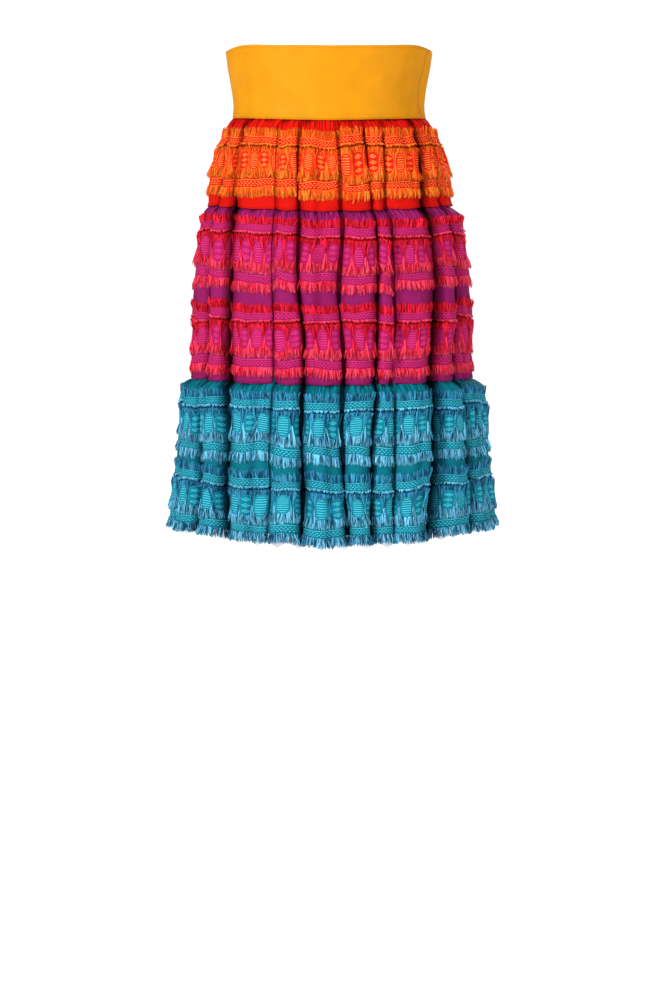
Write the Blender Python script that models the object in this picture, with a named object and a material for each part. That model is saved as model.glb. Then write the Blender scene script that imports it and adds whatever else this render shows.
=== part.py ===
"""High-waisted skirt of three gathered tiers with woven bands and rows of cut fringe.

Metres, +Z up. The front faces -Y and the wearer's left is at +X. The origin is on the
skirt's axis at the waist, the narrowest ring of the waistband, where the wearer holds it up.
Angles are in degrees round the axis, 0 at the front and 90 at +X.
"""

import math
from collections import namedtuple

import bmesh
import bpy
from mathutils import Vector

MM = 0.001

# Cloth sizes in mm
CLOTH = 1.6
BAND_CLOTH = 2.4
LINING_CLOTH = 1.0
SEAM_GAP = 0.3
TUCK = 1.0
MITRE_LIMIT = 3.2

# Woven bands stand out of the cloth by these amounts, in mm
BRAID_RISE = 1.1
MOTIF_RISE = 1.4
BAND_STEP = 1.0

# Gathers under each tier's top seam, in mm
GATHER_RISE = 1.0
GATHER_SEAM_RISE = 0.4
LOBE_ROUNDNESS = 2.3

# Fringe, in mm
STRIP_THICKNESS = 1.2
STRIP_HEIGHT = 3.0
FRINGE_LENGTH = 11.5
LOCK_FLARE = 1.4
NARROWEST_LOCK = 3.3

# Share of each lobe, from one fold to the next, where the cloth has a column of points
LOBE_COLUMNS = (0.0, 0.12, 0.36, 0.64, 0.88)
SEAM_COLUMN = 0.5
RIGHT_SEAM_LOBE = 10
LEFT_SEAM_LOBE = 18

# Outline at a share of the way down a piece, in mm. Shift is how far its middle stands
# towards +X, as the skirt hangs a little to one side.
Section = namedtuple("Section", "down half_width half_depth shift")

# Height of an edge at the sides, and how much lower it hangs at front and back, in mm
Edge = namedtuple("Edge", "side_z drop")

# A fold runs from waist to hem. Depth is how far its groove goes in. The lobe after it
# stands back by crest_inset and hangs lower at the hem by hem_sag. Degrees and mm.
Fold = namedtuple(
    "Fold", "waist_angle hem_angle waist_depth hem_depth crest_inset hem_sag"
)

# A tier lies between two edges and two levels of the fold table, 0 at the waist and 1 at
# the hem. groups says how far down the cloth each group of woven bands starts, in mm.
Tier = namedtuple(
    "Tier", "name cloth top bottom top_level bottom_level length groups sections"
)

# Height of the waistband's top edge at angles from the middle of the front or back
BAND_TOP = ((0.0, 63.1), (30.0, 64.3), (55.0, 66.2), (75.0, 62.6), (90.0, 60.7))
BAND_BOTTOM = Edge(-21.0, 5.8)
BAND_SECTIONS = (
    Section(0.00, 128.8, 99.0, 0.0),
    Section(0.25, 126.0, 96.0, 0.0),
    Section(0.50, 121.6, 92.6, 0.0),
    Section(0.76, 119.0, 90.5, 0.0),
    Section(1.00, 120.2, 91.8, 0.0),
)
BAND_ROWS = (0.0, 0.25, 0.5, 0.76, 1.0)
BAND_FRONT_SEAM = 74.0
BAND_BACK_SEAM = 264.0
BAND_PANEL_STEPS = 23

FOLDS = (
    Fold(-87, -80, 6, 16, 0, 1),
    Fold(-71, -59, 6, 16, 0, -1),
    Fold(-57, -40.5, 8, 22, 0, 0),
    Fold(-26, -22, 3, 8, 1, -2),
    Fold(-15.5, -11.5, 7, 21, 0, 4),
    Fold(4, 5, 8, 21, 0, 0),
    Fold(20.5, 15.5, 6, 22, 8, 0),
    Fold(29, 21.5, 6, 16, 0, 2),
    Fold(55, 39, 8, 22, 1, -2),
    Fold(69, 59, 6, 14, 0, 1),
    Fold(84, 79, 6, 15, 0, -1),
    Fold(103, 101, 6, 15, 0, 1),
    Fold(124, 122, 8, 20, 0, 3),
    Fold(143, 142, 6, 17, 2, -1),
    Fold(165, 164, 8, 21, 0, 2),
    Fold(187, 186, 6, 15, 1, 0),
    Fold(210, 209, 8, 20, 0, 3),
    Fold(232, 233, 6, 18, 0, -1),
    Fold(255, 258, 6, 15, 0, 1),
)

TIERS = (
    Tier(
        "red_tier",
        "red_cloth",
        Edge(-21.3, 5.8),
        Edge(-127.0, 9.5),
        0.0,
        0.215,
        115.0,
        (8.5,),
        (
            Section(0.00, 120.2, 91.8, 0.0),
            Section(0.09, 128.5, 100.0, 0.0),
            Section(0.45, 143.0, 114.0, 0.5),
            Section(1.00, 153.5, 125.0, 1.0),
        ),
    ),
    Tier(
        "purple_tier",
        "purple_cloth",
        Edge(-127.3, 9.5),
        Edge(-341.0, 6.0),
        0.215,
        0.64,
        212.0,
        (7.0, 112.0),
        (
            Section(0.00, 154.0, 126.0, 1.0),
            Section(0.05, 161.5, 134.0, 3.0),
            Section(0.48, 172.5, 146.0, 4.0),
            Section(1.00, 177.0, 152.0, 3.0),
        ),
    ),
    Tier(
        "teal_tier",
        "teal_cloth",
        Edge(-341.3, 6.0),
        Edge(-517.0, 13.5),
        0.64,
        1.0,
        187.5,
        (7.0, 105.5),
        (
            Section(0.00, 178.0, 153.0, 3.0),
            Section(0.06, 187.5, 163.0, 3.0),
            Section(0.50, 194.5, 170.5, 4.0),
            Section(1.00, 203.0, 179.0, 4.0),
        ),
    ),
)
SAGGING_TIER = "teal_tier"

# One group of woven bands, in mm down from the tips of its top fringe, with the rise there
BandRow = namedtuple("BandRow", "down rise")
BAND_GROUP = (
    BandRow(0.0, 0.0),
    BandRow(24.0, BRAID_RISE),
    BandRow(24.0 + BAND_STEP, 0.2),
    BandRow(61.0, MOTIF_RISE),
    BandRow(61.0 + BAND_STEP, 0.2),
    BandRow(82.0, BRAID_RISE),
    BandRow(82.0 + BAND_STEP, 0.0),
)
GROUP_BOTTOM = 82.0

# The white lining shows only as a pointed edge under the hem, in mm
LINING_TOP = Edge(-490.0, 13.5)
LINING_VALLEY = Edge(-527.0, 14.5)
LINING_POINT_LENGTH = 8.0
LINING_POINTS = 40
LINING_INSET = 29.2

# Base colour, roughness
CLOTHS = {
    "marigold_cloth": ((0.98, 0.40, 0.02), 0.62),
    "red_cloth": ((0.74, 0.013, 0.01), 0.75),
    "purple_cloth": ((0.32, 0.02, 0.13), 0.75),
    "teal_cloth": ((0.005, 0.19, 0.26), 0.75),
    "orange_fringe": ((0.94, 0.19, 0.02), 0.5),
    "pink_fringe": ((0.80, 0.04, 0.13), 0.5),
    "blue_fringe": ((0.09, 0.34, 0.50), 0.5),
    "white_lining": ((0.85, 0.84, 0.86), 0.6),
}
FRINGE_CLOTH = {
    "red_tier": "orange_fringe",
    "purple_tier": "pink_fringe",
    "teal_tier": "blue_fringe",
}


def clear_scene():
    for item in list(bpy.data.objects):
        bpy.data.objects.remove(item)


def cloth_material(name):
    colour, roughness = CLOTHS[name]
    material = bpy.data.materials.get(name)
    if material is None:
        material = bpy.data.materials.new(name)
        material.use_nodes = True
        shader = material.node_tree.nodes["Principled BSDF"]
        shader.inputs["Base Color"].default_value = (*colour, 1.0)
        shader.inputs["Roughness"].default_value = roughness
        shader.inputs["Metallic"].default_value = 0.0
    return material


def mix(start, end, share):
    return start + (end - start) * share


def smooth_value(stops, at):
    """Value on a smooth curve through (position, value) stops."""
    slopes = []
    for i in range(len(stops)):
        before = stops[max(i - 1, 0)]
        after = stops[min(i + 1, len(stops) - 1)]
        slopes.append((after[1] - before[1]) / (after[0] - before[0]))
    for i in range(len(stops) - 1):
        (left, low), (right, high) = stops[i], stops[i + 1]
        if at <= right or i == len(stops) - 2:
            span = right - left
            t = min(max((at - left) / span, 0.0), 1.0)
            rise = 3 * t**2 - 2 * t**3
            return (
                mix(low, high, rise)
                + (t**3 - 2 * t**2 + t) * span * slopes[i]
                + (t**3 - t**2) * span * slopes[i + 1]
            )


def outline_at(sections, down):
    """The section at a share of the way down a piece, on smooth curves."""
    return Section(
        down,
        smooth_value([(s.down, s.half_width) for s in sections], down),
        smooth_value([(s.down, s.half_depth) for s in sections], down),
        smooth_value([(s.down, s.shift) for s in sections], down),
    )


def edge_height(edge, angle):
    return edge.side_z - edge.drop * math.cos(math.radians(angle)) ** 2


def outline_point(section, angle, inset, z):
    """A point set in from a section's ellipse along its normal."""
    across = math.sin(math.radians(angle))
    forward = math.cos(math.radians(angle))
    normal = Vector((across / section.half_width, -forward / section.half_depth, 0.0))
    point = Vector(
        (section.half_width * across + section.shift, -section.half_depth * forward, z)
    )
    return point - normal.normalized() * inset


def moved_out(ring, distance):
    """A closed ring of points moved out by a distance, square to its sides in plan."""
    if not distance:
        return list(ring)
    moved = []
    for i, point in enumerate(ring):
        before = (point - ring[i - 1]).xy.normalized()
        after = (ring[(i + 1) % len(ring)] - point).xy.normalized()
        normal = Vector((before.y + after.y, -before.x - after.x)).normalized()
        facing = max(normal.dot(Vector((before.y, -before.x))), 1.0 / MITRE_LIMIT)
        shift = normal * (distance / facing)
        moved.append(point + Vector((shift.x, shift.y, 0.0)))
    return moved


def lobe_columns():
    """(lobe, share) of every column of points round a tier, starting at the first fold."""
    columns = []
    for lobe in range(len(FOLDS)):
        shares = list(LOBE_COLUMNS)
        if lobe in (RIGHT_SEAM_LOBE, LEFT_SEAM_LOBE):
            shares.append(SEAM_COLUMN)
        columns += [(lobe, share) for share in sorted(shares)]
    return columns


def fold_at(index, level):
    """(angle, depth) of a fold at a level, going on round past the last fold."""
    fold = FOLDS[index % len(FOLDS)]
    turns = 360.0 * (index // len(FOLDS))
    angle = mix(fold.waist_angle, fold.hem_angle, level) + turns
    return angle, mix(fold.waist_depth, fold.hem_depth, level)


def lobe_depth(lobe, share, level):
    """How far in from the crest outline the cloth lies at a share of a lobe, in mm."""
    nearest = lobe if share < 0.5 else lobe + 1
    groove = fold_at(nearest, level)[1]
    crest = FOLDS[lobe].crest_inset * level
    towards_crest = 1.0 - abs(2.0 * share - 1.0)
    swell = (1.0 - (1.0 - towards_crest) ** LOBE_ROUNDNESS) ** (1.0 / LOBE_ROUNDNESS)
    return mix(groove, crest, swell)


def tier_ring(tier, down):
    """The cloth's base points round a tier, at a distance down it in mm."""
    share_down = min(down / tier.length, 1.0)
    level = mix(tier.top_level, tier.bottom_level, share_down)
    section = outline_at(tier.sections, share_down)
    starting = tier.top_level == 0.0
    fold_share = min(down / 20.0, 1.0) if starting else 1.0
    ring = []
    for lobe, share in lobe_columns():
        angle = mix(fold_at(lobe, level)[0], fold_at(lobe + 1, level)[0], share)
        z = mix(
            edge_height(tier.top, angle), edge_height(tier.bottom, angle), share_down
        )
        if tier.name == SAGGING_TIER:
            crest = 1.0 - abs(2.0 * share - 1.0)
            z -= FOLDS[lobe].hem_sag * crest * share_down**2
        inset = lobe_depth(lobe, share, level) * fold_share
        ring.append(outline_point(section, angle, inset, z))
    return ring


def gathered(ring, rise):
    """The ring with every other point moved out and the rest moved in, as small gathers."""
    out = moved_out(ring, rise)
    inward = moved_out(ring, -rise)
    return [out[i] if i % 2 else inward[i] for i in range(len(ring))]


def panel_of(ring, first, last):
    """The points of a ring from one column to another, parted at both ends for the seam."""
    count = len(ring)
    span = (last - first) % count
    points = [ring[(first + i) % count].copy() for i in range(span + 1)]
    half_gap = SEAM_GAP / 2.0
    points[0] += (points[1] - points[0]).normalized() * half_gap
    points[-1] += (points[-2] - points[-1]).normalized() * half_gap
    return points


def tier_panels():
    """(name, first column, last column) of a tier's front and back."""
    columns = lobe_columns()
    right = columns.index((RIGHT_SEAM_LOBE, SEAM_COLUMN))
    left = columns.index((LEFT_SEAM_LOBE, SEAM_COLUMN))
    return (("front", left, right), ("back", right, left))


def add_piece(collection, name, mesh_builder, material_name):
    """A mesh object from a bmesh in mm, faces out, in metres."""
    bmesh.ops.recalc_face_normals(mesh_builder, faces=mesh_builder.faces)
    bmesh.ops.scale(mesh_builder, vec=(MM, MM, MM), verts=mesh_builder.verts)
    mesh = bpy.data.meshes.new(name)
    mesh_builder.to_mesh(mesh)
    mesh_builder.free()
    mesh.materials.append(cloth_material(material_name))
    mesh.shade_smooth()
    mesh.set_sharp_from_angle(angle=math.radians(40.0))
    piece = bpy.data.objects.new(name, mesh)
    collection.objects.link(piece)
    return piece


def add_wall(collection, name, outer_rows, inner_rows, material_name):
    """A closed wall lofted down its outer rows and up its inner rows."""
    rows = outer_rows + inner_rows[::-1]
    builder = bmesh.new()
    grid = [[builder.verts.new(point) for point in row] for row in rows]
    columns = len(grid[0])
    for r, row in enumerate(grid):
        below = grid[(r + 1) % len(grid)]
        for c in range(columns - 1):
            builder.faces.new((row[c], row[c + 1], below[c + 1], below[c]))
    for c in (0, columns - 1):
        builder.faces.new([row[c] for row in grid])
    return add_piece(collection, name, builder, material_name)


def ends_in_braid(tier):
    return tier.groups[-1] + GROUP_BOTTOM + BAND_STEP > tier.length


def band_rows_of(tier):
    """(distance down, rise) of each outer row of a tier below its gathers, in mm."""
    rows = []
    for start in tier.groups:
        rows += [(start + row.down, row.rise) for row in BAND_GROUP]
    return [row for row in rows if row[0] < tier.length - BAND_STEP]


def outer_rows_of(tier):
    """(distance down, ring) of each row of a tier's outer face, in mm."""
    top = tier_ring(tier, 0.0)
    rows = [(0.0, moved_out(gathered(top, GATHER_SEAM_RISE), -TUCK))]
    for down, rise in band_rows_of(tier):
        ring = tier_ring(tier, down)
        if down == tier.groups[0]:
            rows.append((down, gathered(ring, GATHER_RISE)))
        else:
            rows.append((down, moved_out(ring, rise)))
    hem_rise = BRAID_RISE if ends_in_braid(tier) else 0.0
    rows.append((tier.length, moved_out(tier_ring(tier, tier.length), hem_rise)))
    return rows


def outer_face_at(tier, down):
    """The ring of points on a tier's outer face at a distance down it in mm."""
    rows = outer_rows_of(tier)
    for (above, upper), (below, lower) in zip(rows, rows[1:]):
        if down <= below:
            share = (down - above) / (below - above)
            return [start.lerp(end, share) for start, end in zip(upper, lower)]


def build_tier(collection, tier):
    """Front and back of a tier, with its woven bands raised in the outer points."""
    outer = [ring for _, ring in outer_rows_of(tier)]
    top = tier_ring(tier, 0.0)
    inner = [moved_out(top, -TUCK - CLOTH)]
    inner_stops = [tier.groups[0], 0.5 * tier.length, tier.length]
    inner += [moved_out(tier_ring(tier, down), -CLOTH) for down in inner_stops]
    for side, first, last in tier_panels():
        add_wall(
            collection,
            f"{tier.name}_{side}",
            [panel_of(ring, first, last) for ring in outer],
            [panel_of(ring, first, last) for ring in inner],
            tier.cloth,
        )


def lock_segments(first, last):
    """For each segment of a panel's strip, whether a lock hangs from it."""
    columns = lobe_columns()
    count = len(columns)
    hangs = []
    for step in range((last - first) % count):
        lobe, share = columns[(first + step) % count]
        next_lobe, next_share = columns[(first + step + 1) % count]
        on_lobe = share > 0.0 and next_lobe == lobe
        spread = fold_at(lobe + 1, 1.0)[0] - fold_at(lobe, 1.0)[0]
        hangs.append(on_lobe and (next_share - share) * spread >= NARROWEST_LOCK)
    return hangs


def dropped(ring, distance):
    return [point - Vector((0.0, 0.0, distance)) for point in ring]


def add_fringe(collection, name, strip_rows, hangs, material_name):
    """A narrow strip round the cloth with pointed four-sided locks under it."""
    builder = bmesh.new()
    grid = [[builder.verts.new(point) for point in row] for row in strip_rows]
    outer_top, outer_bottom, inner_bottom, inner_top = grid
    segments = len(outer_top) - 1
    for upper, lower in (
        (outer_top, outer_bottom),
        (inner_bottom, inner_top),
        (inner_top, outer_top),
    ):
        for c in range(segments):
            builder.faces.new((upper[c], upper[c + 1], lower[c + 1], lower[c]))
    for c in range(segments):
        root = (
            outer_bottom[c],
            outer_bottom[c + 1],
            inner_bottom[c + 1],
            inner_bottom[c],
        )
        if not hangs[c]:
            builder.faces.new(root)
            continue
        outward = (root[0].co + root[1].co - root[2].co - root[3].co).normalized()
        centre = sum((vert.co for vert in root), Vector()) / len(root)
        length = (FRINGE_LENGTH - STRIP_HEIGHT) * (0.9 + 0.1 * math.sin(2.4 * c))
        tip = builder.verts.new(
            centre + outward * LOCK_FLARE - Vector((0.0, 0.0, length))
        )
        for i, corner in enumerate(root):
            builder.faces.new((corner, root[(i + 1) % len(root)], tip))
    for c in (0, segments):
        builder.faces.new([row[c] for row in grid])
    return add_piece(collection, name, builder, material_name)


def build_fringes(collection, tier):
    """A row of fringe under the lower braid of each group of bands, front and back."""
    for number, start in enumerate(tier.groups, 1):
        root = start + GROUP_BOTTOM + BAND_STEP
        if root < tier.length:
            top = outer_face_at(tier, root)
            bottom = outer_face_at(tier, root + STRIP_HEIGHT)
            inside = SEAM_GAP
        else:
            hem = outer_face_at(tier, tier.length)
            top = dropped(hem, SEAM_GAP)
            bottom = dropped(hem, SEAM_GAP + STRIP_HEIGHT)
            inside = -STRIP_THICKNESS
        outside = inside + STRIP_THICKNESS
        for side, first, last in tier_panels():
            strip_rows = [
                panel_of(moved_out(top, outside), first, last),
                panel_of(moved_out(bottom, outside), first, last),
                panel_of(moved_out(bottom, inside), first, last),
                panel_of(moved_out(top, inside), first, last),
            ]
            add_fringe(
                collection,
                f"{tier.name}_fringe_{number}_{side}",
                strip_rows,
                lock_segments(first, last),
                FRINGE_CLOTH[tier.name],
            )


def band_top_height(angle):
    from_middle = math.degrees(math.asin(abs(math.sin(math.radians(angle)))))
    return smooth_value(BAND_TOP, from_middle)


def band_ring(angles, down, distance):
    section = outline_at(BAND_SECTIONS, down)
    ring = [
        outline_point(
            section,
            angle,
            0.0,
            mix(band_top_height(angle), edge_height(BAND_BOTTOM, angle), down),
        )
        for angle in angles
    ]
    return moved_out(ring, distance)


def build_waistband(collection):
    """Front and back of the high waistband, seamed at the wearer's left and right."""
    start = BAND_BACK_SEAM - 360.0
    front_step = (BAND_FRONT_SEAM - start) / BAND_PANEL_STEPS
    back_step = (BAND_BACK_SEAM - BAND_FRONT_SEAM) / BAND_PANEL_STEPS
    angles = [start + front_step * i for i in range(BAND_PANEL_STEPS)]
    angles += [BAND_FRONT_SEAM + back_step * i for i in range(BAND_PANEL_STEPS)]
    outer = [band_ring(angles, down, 0.0) for down in BAND_ROWS]
    inner = [band_ring(angles, down, -BAND_CLOTH) for down in BAND_ROWS]
    for side, first, last in (
        ("front", 0, BAND_PANEL_STEPS),
        ("back", BAND_PANEL_STEPS, 0),
    ):
        add_wall(
            collection,
            f"waistband_{side}",
            [panel_of(ring, first, last) for ring in outer],
            [panel_of(ring, first, last) for ring in inner],
            "marigold_cloth",
        )


def lining_ring(angles, edge, points_down, distance):
    section = outline_at(TIERS[-1].sections, 1.0)
    ring = []
    for i, angle in enumerate(angles):
        z = edge_height(edge, angle) - (points_down if i % 2 else 0.0)
        ring.append(outline_point(section, angle, LINING_INSET, z))
    return moved_out(ring, distance)


def build_lining(collection):
    """The pointed edge of the lining, all that shows of it, lying against the folds."""
    count = 2 * LINING_POINTS
    angles = [-90.0 + 360.0 * i / count for i in range(count)]
    for side, first, last in (("front", 0, LINING_POINTS), ("back", LINING_POINTS, 0)):
        walls = [
            [
                panel_of(
                    lining_ring(angles, LINING_TOP, 0.0, distance), first, last
                ),
                panel_of(
                    lining_ring(angles, LINING_VALLEY, LINING_POINT_LENGTH, distance),
                    first,
                    last,
                ),
            ]
            for distance in (0.0, -LINING_CLOTH)
        ]
        add_wall(collection, f"lining_edge_{side}", *walls, "white_lining")


def build_skirt():
    clear_scene()
    collection = bpy.data.collections.new("tiered_skirt")
    bpy.context.scene.collection.children.link(collection)
    build_waistband(collection)
    for tier in TIERS:
        build_tier(collection, tier)
        build_fringes(collection, tier)
    build_lining(collection)


build_skirt()
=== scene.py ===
"""The looks of a high-waisted skirt of three gathered tiers with woven bands and cut fringe.

Metres, +Z up. The front faces -Y and the wearer's left is at +X. Angles are in degrees
round the skirt's axis, 0 at the front and 90 at +X.
"""

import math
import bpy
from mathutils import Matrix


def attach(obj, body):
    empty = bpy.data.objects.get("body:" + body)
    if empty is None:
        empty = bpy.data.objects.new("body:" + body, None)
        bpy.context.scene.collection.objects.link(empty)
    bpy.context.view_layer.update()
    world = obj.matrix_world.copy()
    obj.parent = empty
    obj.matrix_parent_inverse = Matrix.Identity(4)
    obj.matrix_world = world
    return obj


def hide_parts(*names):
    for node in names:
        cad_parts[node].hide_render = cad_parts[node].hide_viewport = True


bl_info = {
    "name": "Tiered skirt",
    "version": (1, 0, 0),
    "blender": (4, 5, 0),
    "location": "View3D > Sidebar > Skirt",
    "description": "Cloth, woven bands, fringe and stitching of a tiered skirt",
    "category": "Object",
}

from collections import namedtuple

import bpy
import numpy as np
from mathutils import Vector, noise

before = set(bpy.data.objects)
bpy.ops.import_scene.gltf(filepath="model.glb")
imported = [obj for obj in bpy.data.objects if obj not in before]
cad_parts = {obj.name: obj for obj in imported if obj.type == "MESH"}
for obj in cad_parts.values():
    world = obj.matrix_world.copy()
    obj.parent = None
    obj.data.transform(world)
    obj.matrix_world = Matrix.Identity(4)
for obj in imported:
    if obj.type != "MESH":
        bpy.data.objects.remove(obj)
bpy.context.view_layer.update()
ROOT = "root"
MM = 0.001

# Sections, edges, folds and tiers have the same values as the solids. A section is the
# outline at a share of the way down a piece, in mm. Shift is how far its middle stands
# towards +X, as the skirt hangs a little to one side.
Section = namedtuple("Section", "down half_width half_depth shift")

# Height of an edge at the sides, and how much lower it hangs at front and back, in mm
Edge = namedtuple("Edge", "side_z drop")

# A fold runs from waist to hem. Depth is how far its groove goes in. The lobe after it
# stands back by crest_inset and hangs lower at the hem by hem_sag. Degrees and mm.
Fold = namedtuple("Fold", "waist_angle hem_angle waist_depth hem_depth crest_inset hem_sag")

# A tier lies between two edges and two levels of the fold table, 0 at the waist and 1 at
# the hem. groups says how far down the cloth each group of woven bands starts, in mm.
Tier = namedtuple("Tier", "name top bottom top_level bottom_level length groups sections")

# Height of the waistband's top edge at angles from the middle of the front or back
BAND_TOP = ((0.0, 63.1), (30.0, 64.3), (55.0, 66.2), (75.0, 62.6), (90.0, 60.7))
BAND_BOTTOM = Edge(-21.0, 5.8)
BAND_SECTIONS = (
    Section(0.00, 128.8, 99.0, 0.0),
    Section(0.25, 126.0, 96.0, 0.0),
    Section(0.50, 121.6, 92.6, 0.0),
    Section(0.76, 119.0, 90.5, 0.0),
    Section(1.00, 120.2, 91.8, 0.0),
)
BAND_LENGTH = 82.0
BAND_FRONT_SEAM = 74.0
BAND_BACK_SEAM = 264.0

# The waistband's slanting crease, which runs down from BAND_CREASE_START to its left seam
# and on past it, and the soft fold at its other side. Degrees and mm.
BAND_CREASE_START = 56.0
BAND_CREASE_SLANT = 26.0
BAND_CREASE_PAST_SEAM = 10.0
BAND_CREASE_DEPTH = 3.2
BAND_CREASE_DEEPER = 2.4
BAND_FOLD_ANGLE = 316.0
BAND_FOLD_SLANT = 3.0
BAND_FOLD_HALF_WIDTH = 4.0
BAND_FOLD_DEPTH = 1.6
BAND_SWELL = 1.6
BAND_SEAM_HALF_WIDTH = 0.9
BAND_SEAM_DEPTH = 1.0
BAND_COLUMNS = 360
BAND_ROWS = 20

# Stitches round the waistband, in mm down it, and beside its seams, in degrees, the share
# of its pitch that is half a stitch's length, and its other half sizes in mm
STITCHED_ROUND = (3.0, BAND_LENGTH - 5.5, BAND_LENGTH - 2.0)
STITCHED_DOWN = (BAND_FRONT_SEAM - 2.0, BAND_FRONT_SEAM - 4.5, BAND_BACK_SEAM - 2.0)
STITCHED_DOWN_ENDS = (4.0, BAND_LENGTH - 3.0)
STITCHED_DOWN_POINTS = 30
STITCH_SHARE = 0.4
STITCH_HALF_WIDTH = 0.24
STITCH_HALF_HEIGHT = 0.2

FOLDS = (
    Fold(-87, -80, 6, 16, 0, 1),
    Fold(-71, -59, 6, 16, 0, -1),
    Fold(-57, -40.5, 8, 22, 0, 0),
    Fold(-26, -22, 3, 8, 1, -2),
    Fold(-15.5, -11.5, 7, 21, 0, 4),
    Fold(4, 5, 8, 21, 0, 0),
    Fold(20.5, 15.5, 6, 22, 8, 0),
    Fold(29, 21.5, 6, 16, 0, 2),
    Fold(55, 39, 8, 22, 1, -2),
    Fold(69, 59, 6, 14, 0, 1),
    Fold(84, 79, 6, 15, 0, -1),
    Fold(103, 101, 6, 15, 0, 1),
    Fold(124, 122, 8, 20, 0, 3),
    Fold(143, 142, 6, 17, 2, -1),
    Fold(165, 164, 8, 21, 0, 2),
    Fold(187, 186, 6, 15, 1, 0),
    Fold(210, 209, 8, 20, 0, 3),
    Fold(232, 233, 6, 18, 0, -1),
    Fold(255, 258, 6, 15, 0, 1),
)

# Half the shape of a lobe, from the bottom of a groove to the crest: share of the way
# across, and share of the groove's depth. The groove is wider inside than at its mouth.
LOBE_PROFILE = (
    (0.00, 0.00),
    (0.09, 0.03),
    (0.135, 0.14),
    (0.125, 0.28),
    (0.115, 0.39),
    (0.14, 0.49),
    (0.20, 0.60),
    (0.27, 0.69),
    (0.36, 0.78),
    (0.48, 0.865),
    (0.66, 0.945),
    (0.85, 0.989),
    (1.00, 1.00),
)
GROOVE_POINTS = 7
GROOVE_WIDTH_CHANGE = 1.0

# Soft creases between the folds: angle, how far down the skirt they run from 0 at the
# waist to 1 at the hem, and their depth. Degrees and mm.
Crease = namedtuple("Crease", "angle top bottom depth")
SOFT_CREASES = (
    Crease(-6.0, 0.02, 0.62, 3.6),
    Crease(28.5, 0.20, 0.66, 4.0),
    Crease(12.0, -0.1, 0.22, 3.0),
    Crease(-38.0, -0.1, 0.20, 3.0),
    Crease(43.0, -0.1, 0.22, 3.0),
    Crease(-30.5, 0.62, 1.1, 4.2),
    Crease(-1.0, 0.68, 1.1, 4.0),
    Crease(-57.0, 0.60, 1.1, 3.6),
    Crease(33.0, 0.72, 1.1, 2.6),
    Crease(-48.0, 0.25, 0.60, 3.0),
    Crease(69.0, 0.30, 1.1, 3.0),
    Crease(92.0, 0.10, 0.80, 3.6),
    Crease(134.0, 0.30, 1.1, 4.0),
    Crease(153.0, -0.1, 0.55, 3.6),
    Crease(176.0, 0.25, 1.1, 4.0),
    Crease(199.0, -0.1, 0.60, 3.6),
    Crease(222.0, 0.35, 1.1, 4.0),
    Crease(246.0, -0.1, 0.50, 3.4),
    Crease(268.0, 0.40, 1.1, 3.4),
)
CREASE_HALF_WIDTH = 1.7

RED = Tier(
    "red_tier",
    Edge(-21.3, 5.8),
    Edge(-127.0, 9.5),
    0.0,
    0.215,
    115.0,
    (8.5,),
    (
        Section(0.00, 120.2, 91.8, 0.0),
        Section(0.09, 128.5, 100.0, 0.0),
        Section(0.45, 143.0, 114.0, 0.5),
        Section(1.00, 153.5, 125.0, 1.0),
    ),
)
PURPLE = Tier(
    "purple_tier",
    Edge(-127.3, 9.5),
    Edge(-341.0, 6.0),
    0.215,
    0.64,
    212.0,
    (7.0, 112.0),
    (
        Section(0.00, 154.0, 126.0, 1.0),
        Section(0.05, 161.5, 134.0, 3.0),
        Section(0.48, 172.5, 146.0, 4.0),
        Section(1.00, 177.0, 152.0, 3.0),
    ),
)
TEAL = Tier(
    "teal_tier",
    Edge(-341.3, 6.0),
    Edge(-517.0, 13.5),
    0.64,
    1.0,
    187.5,
    (7.0, 105.5),
    (
        Section(0.00, 178.0, 153.0, 3.0),
        Section(0.06, 187.5, 163.0, 3.0),
        Section(0.50, 194.5, 170.5, 4.0),
        Section(1.00, 203.0, 179.0, 4.0),
    ),
)
TIERS = (RED, PURPLE, TEAL)

LINING_TOP = Edge(-490.0, 13.5)
LINING_VALLEY = Edge(-527.0, 14.5)
LINING_POINT_LENGTH = 8.0
LINING_POINTS = 40
LINING_INSET = 29.2
LINING_THICKNESS = 0.5
LINING_LENGTH = 45.0

# Places within one group of woven bands, in mm down from the tips of its top fringe
UPPER_BRAID = (14.0, 24.0)
MOTIF_MIDDLE = 46.5
MOTIF_HALF_HEIGHT = 13.0
MOTIF_WIDTH_SHARE = 0.88
MOTIF_POWER = 3.0
LOWER_BRAID = (72.0, 82.0)

# Braid: its half width and border line, and the pitch and half sizes of its dashes, which
# lie in three rows that reach DASH_ROWS_HALF from the middle, in mm
BRAID_HALF_WIDTH = 5.0
BRAID_BORDER = (4.1, 4.8)
DASH_PITCH = 4.6
DASH_HALF_LENGTH = 1.1
DASH_HALF_HEIGHT = 0.42
DASH_ROW_PITCH = 2.0
DASH_ROWS_HALF = 3.0

# Fillings of the ovals, in mm: the stripes' pitch and where a stripe lies in it, and half
# the pitch of the diamonds. A diamond and the line round it are shares of the oval.
STRIPE_PITCH = 2.9
STRIPE = (0.9, 1.85)
DIAMOND_HALF_PITCH = 3.6
DIAMOND_SLOPE = 0.28
DIAMOND = 0.24
DIAMOND_LINE = (0.48, 0.70)
OVAL_RIM = 0.84

# How far the cloth stands out at a place in the group, in mm down and mm out
GROUP_RISE = (
    (0.0, 0.0),
    (14.0, 0.5),
    (15.0, 0.9),
    (24.0, 1.2),
    (25.5, 0.2),
    (32.0, 0.8),
    (60.0, 1.3),
    (62.0, 0.3),
    (71.5, 0.6),
    (72.5, 1.0),
    (82.0, 1.2),
    (83.0, 0.0),
)

# Columns of cloth points in a degree of lobe, and the furthest apart that rows lie, which
# is less near the top seam, in mm
COLUMNS_A_DEGREE = 0.95
ROW_STEP = 5.0
HEADER_STEP = 2.5
HEADER_DEPTH = 15.0

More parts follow.
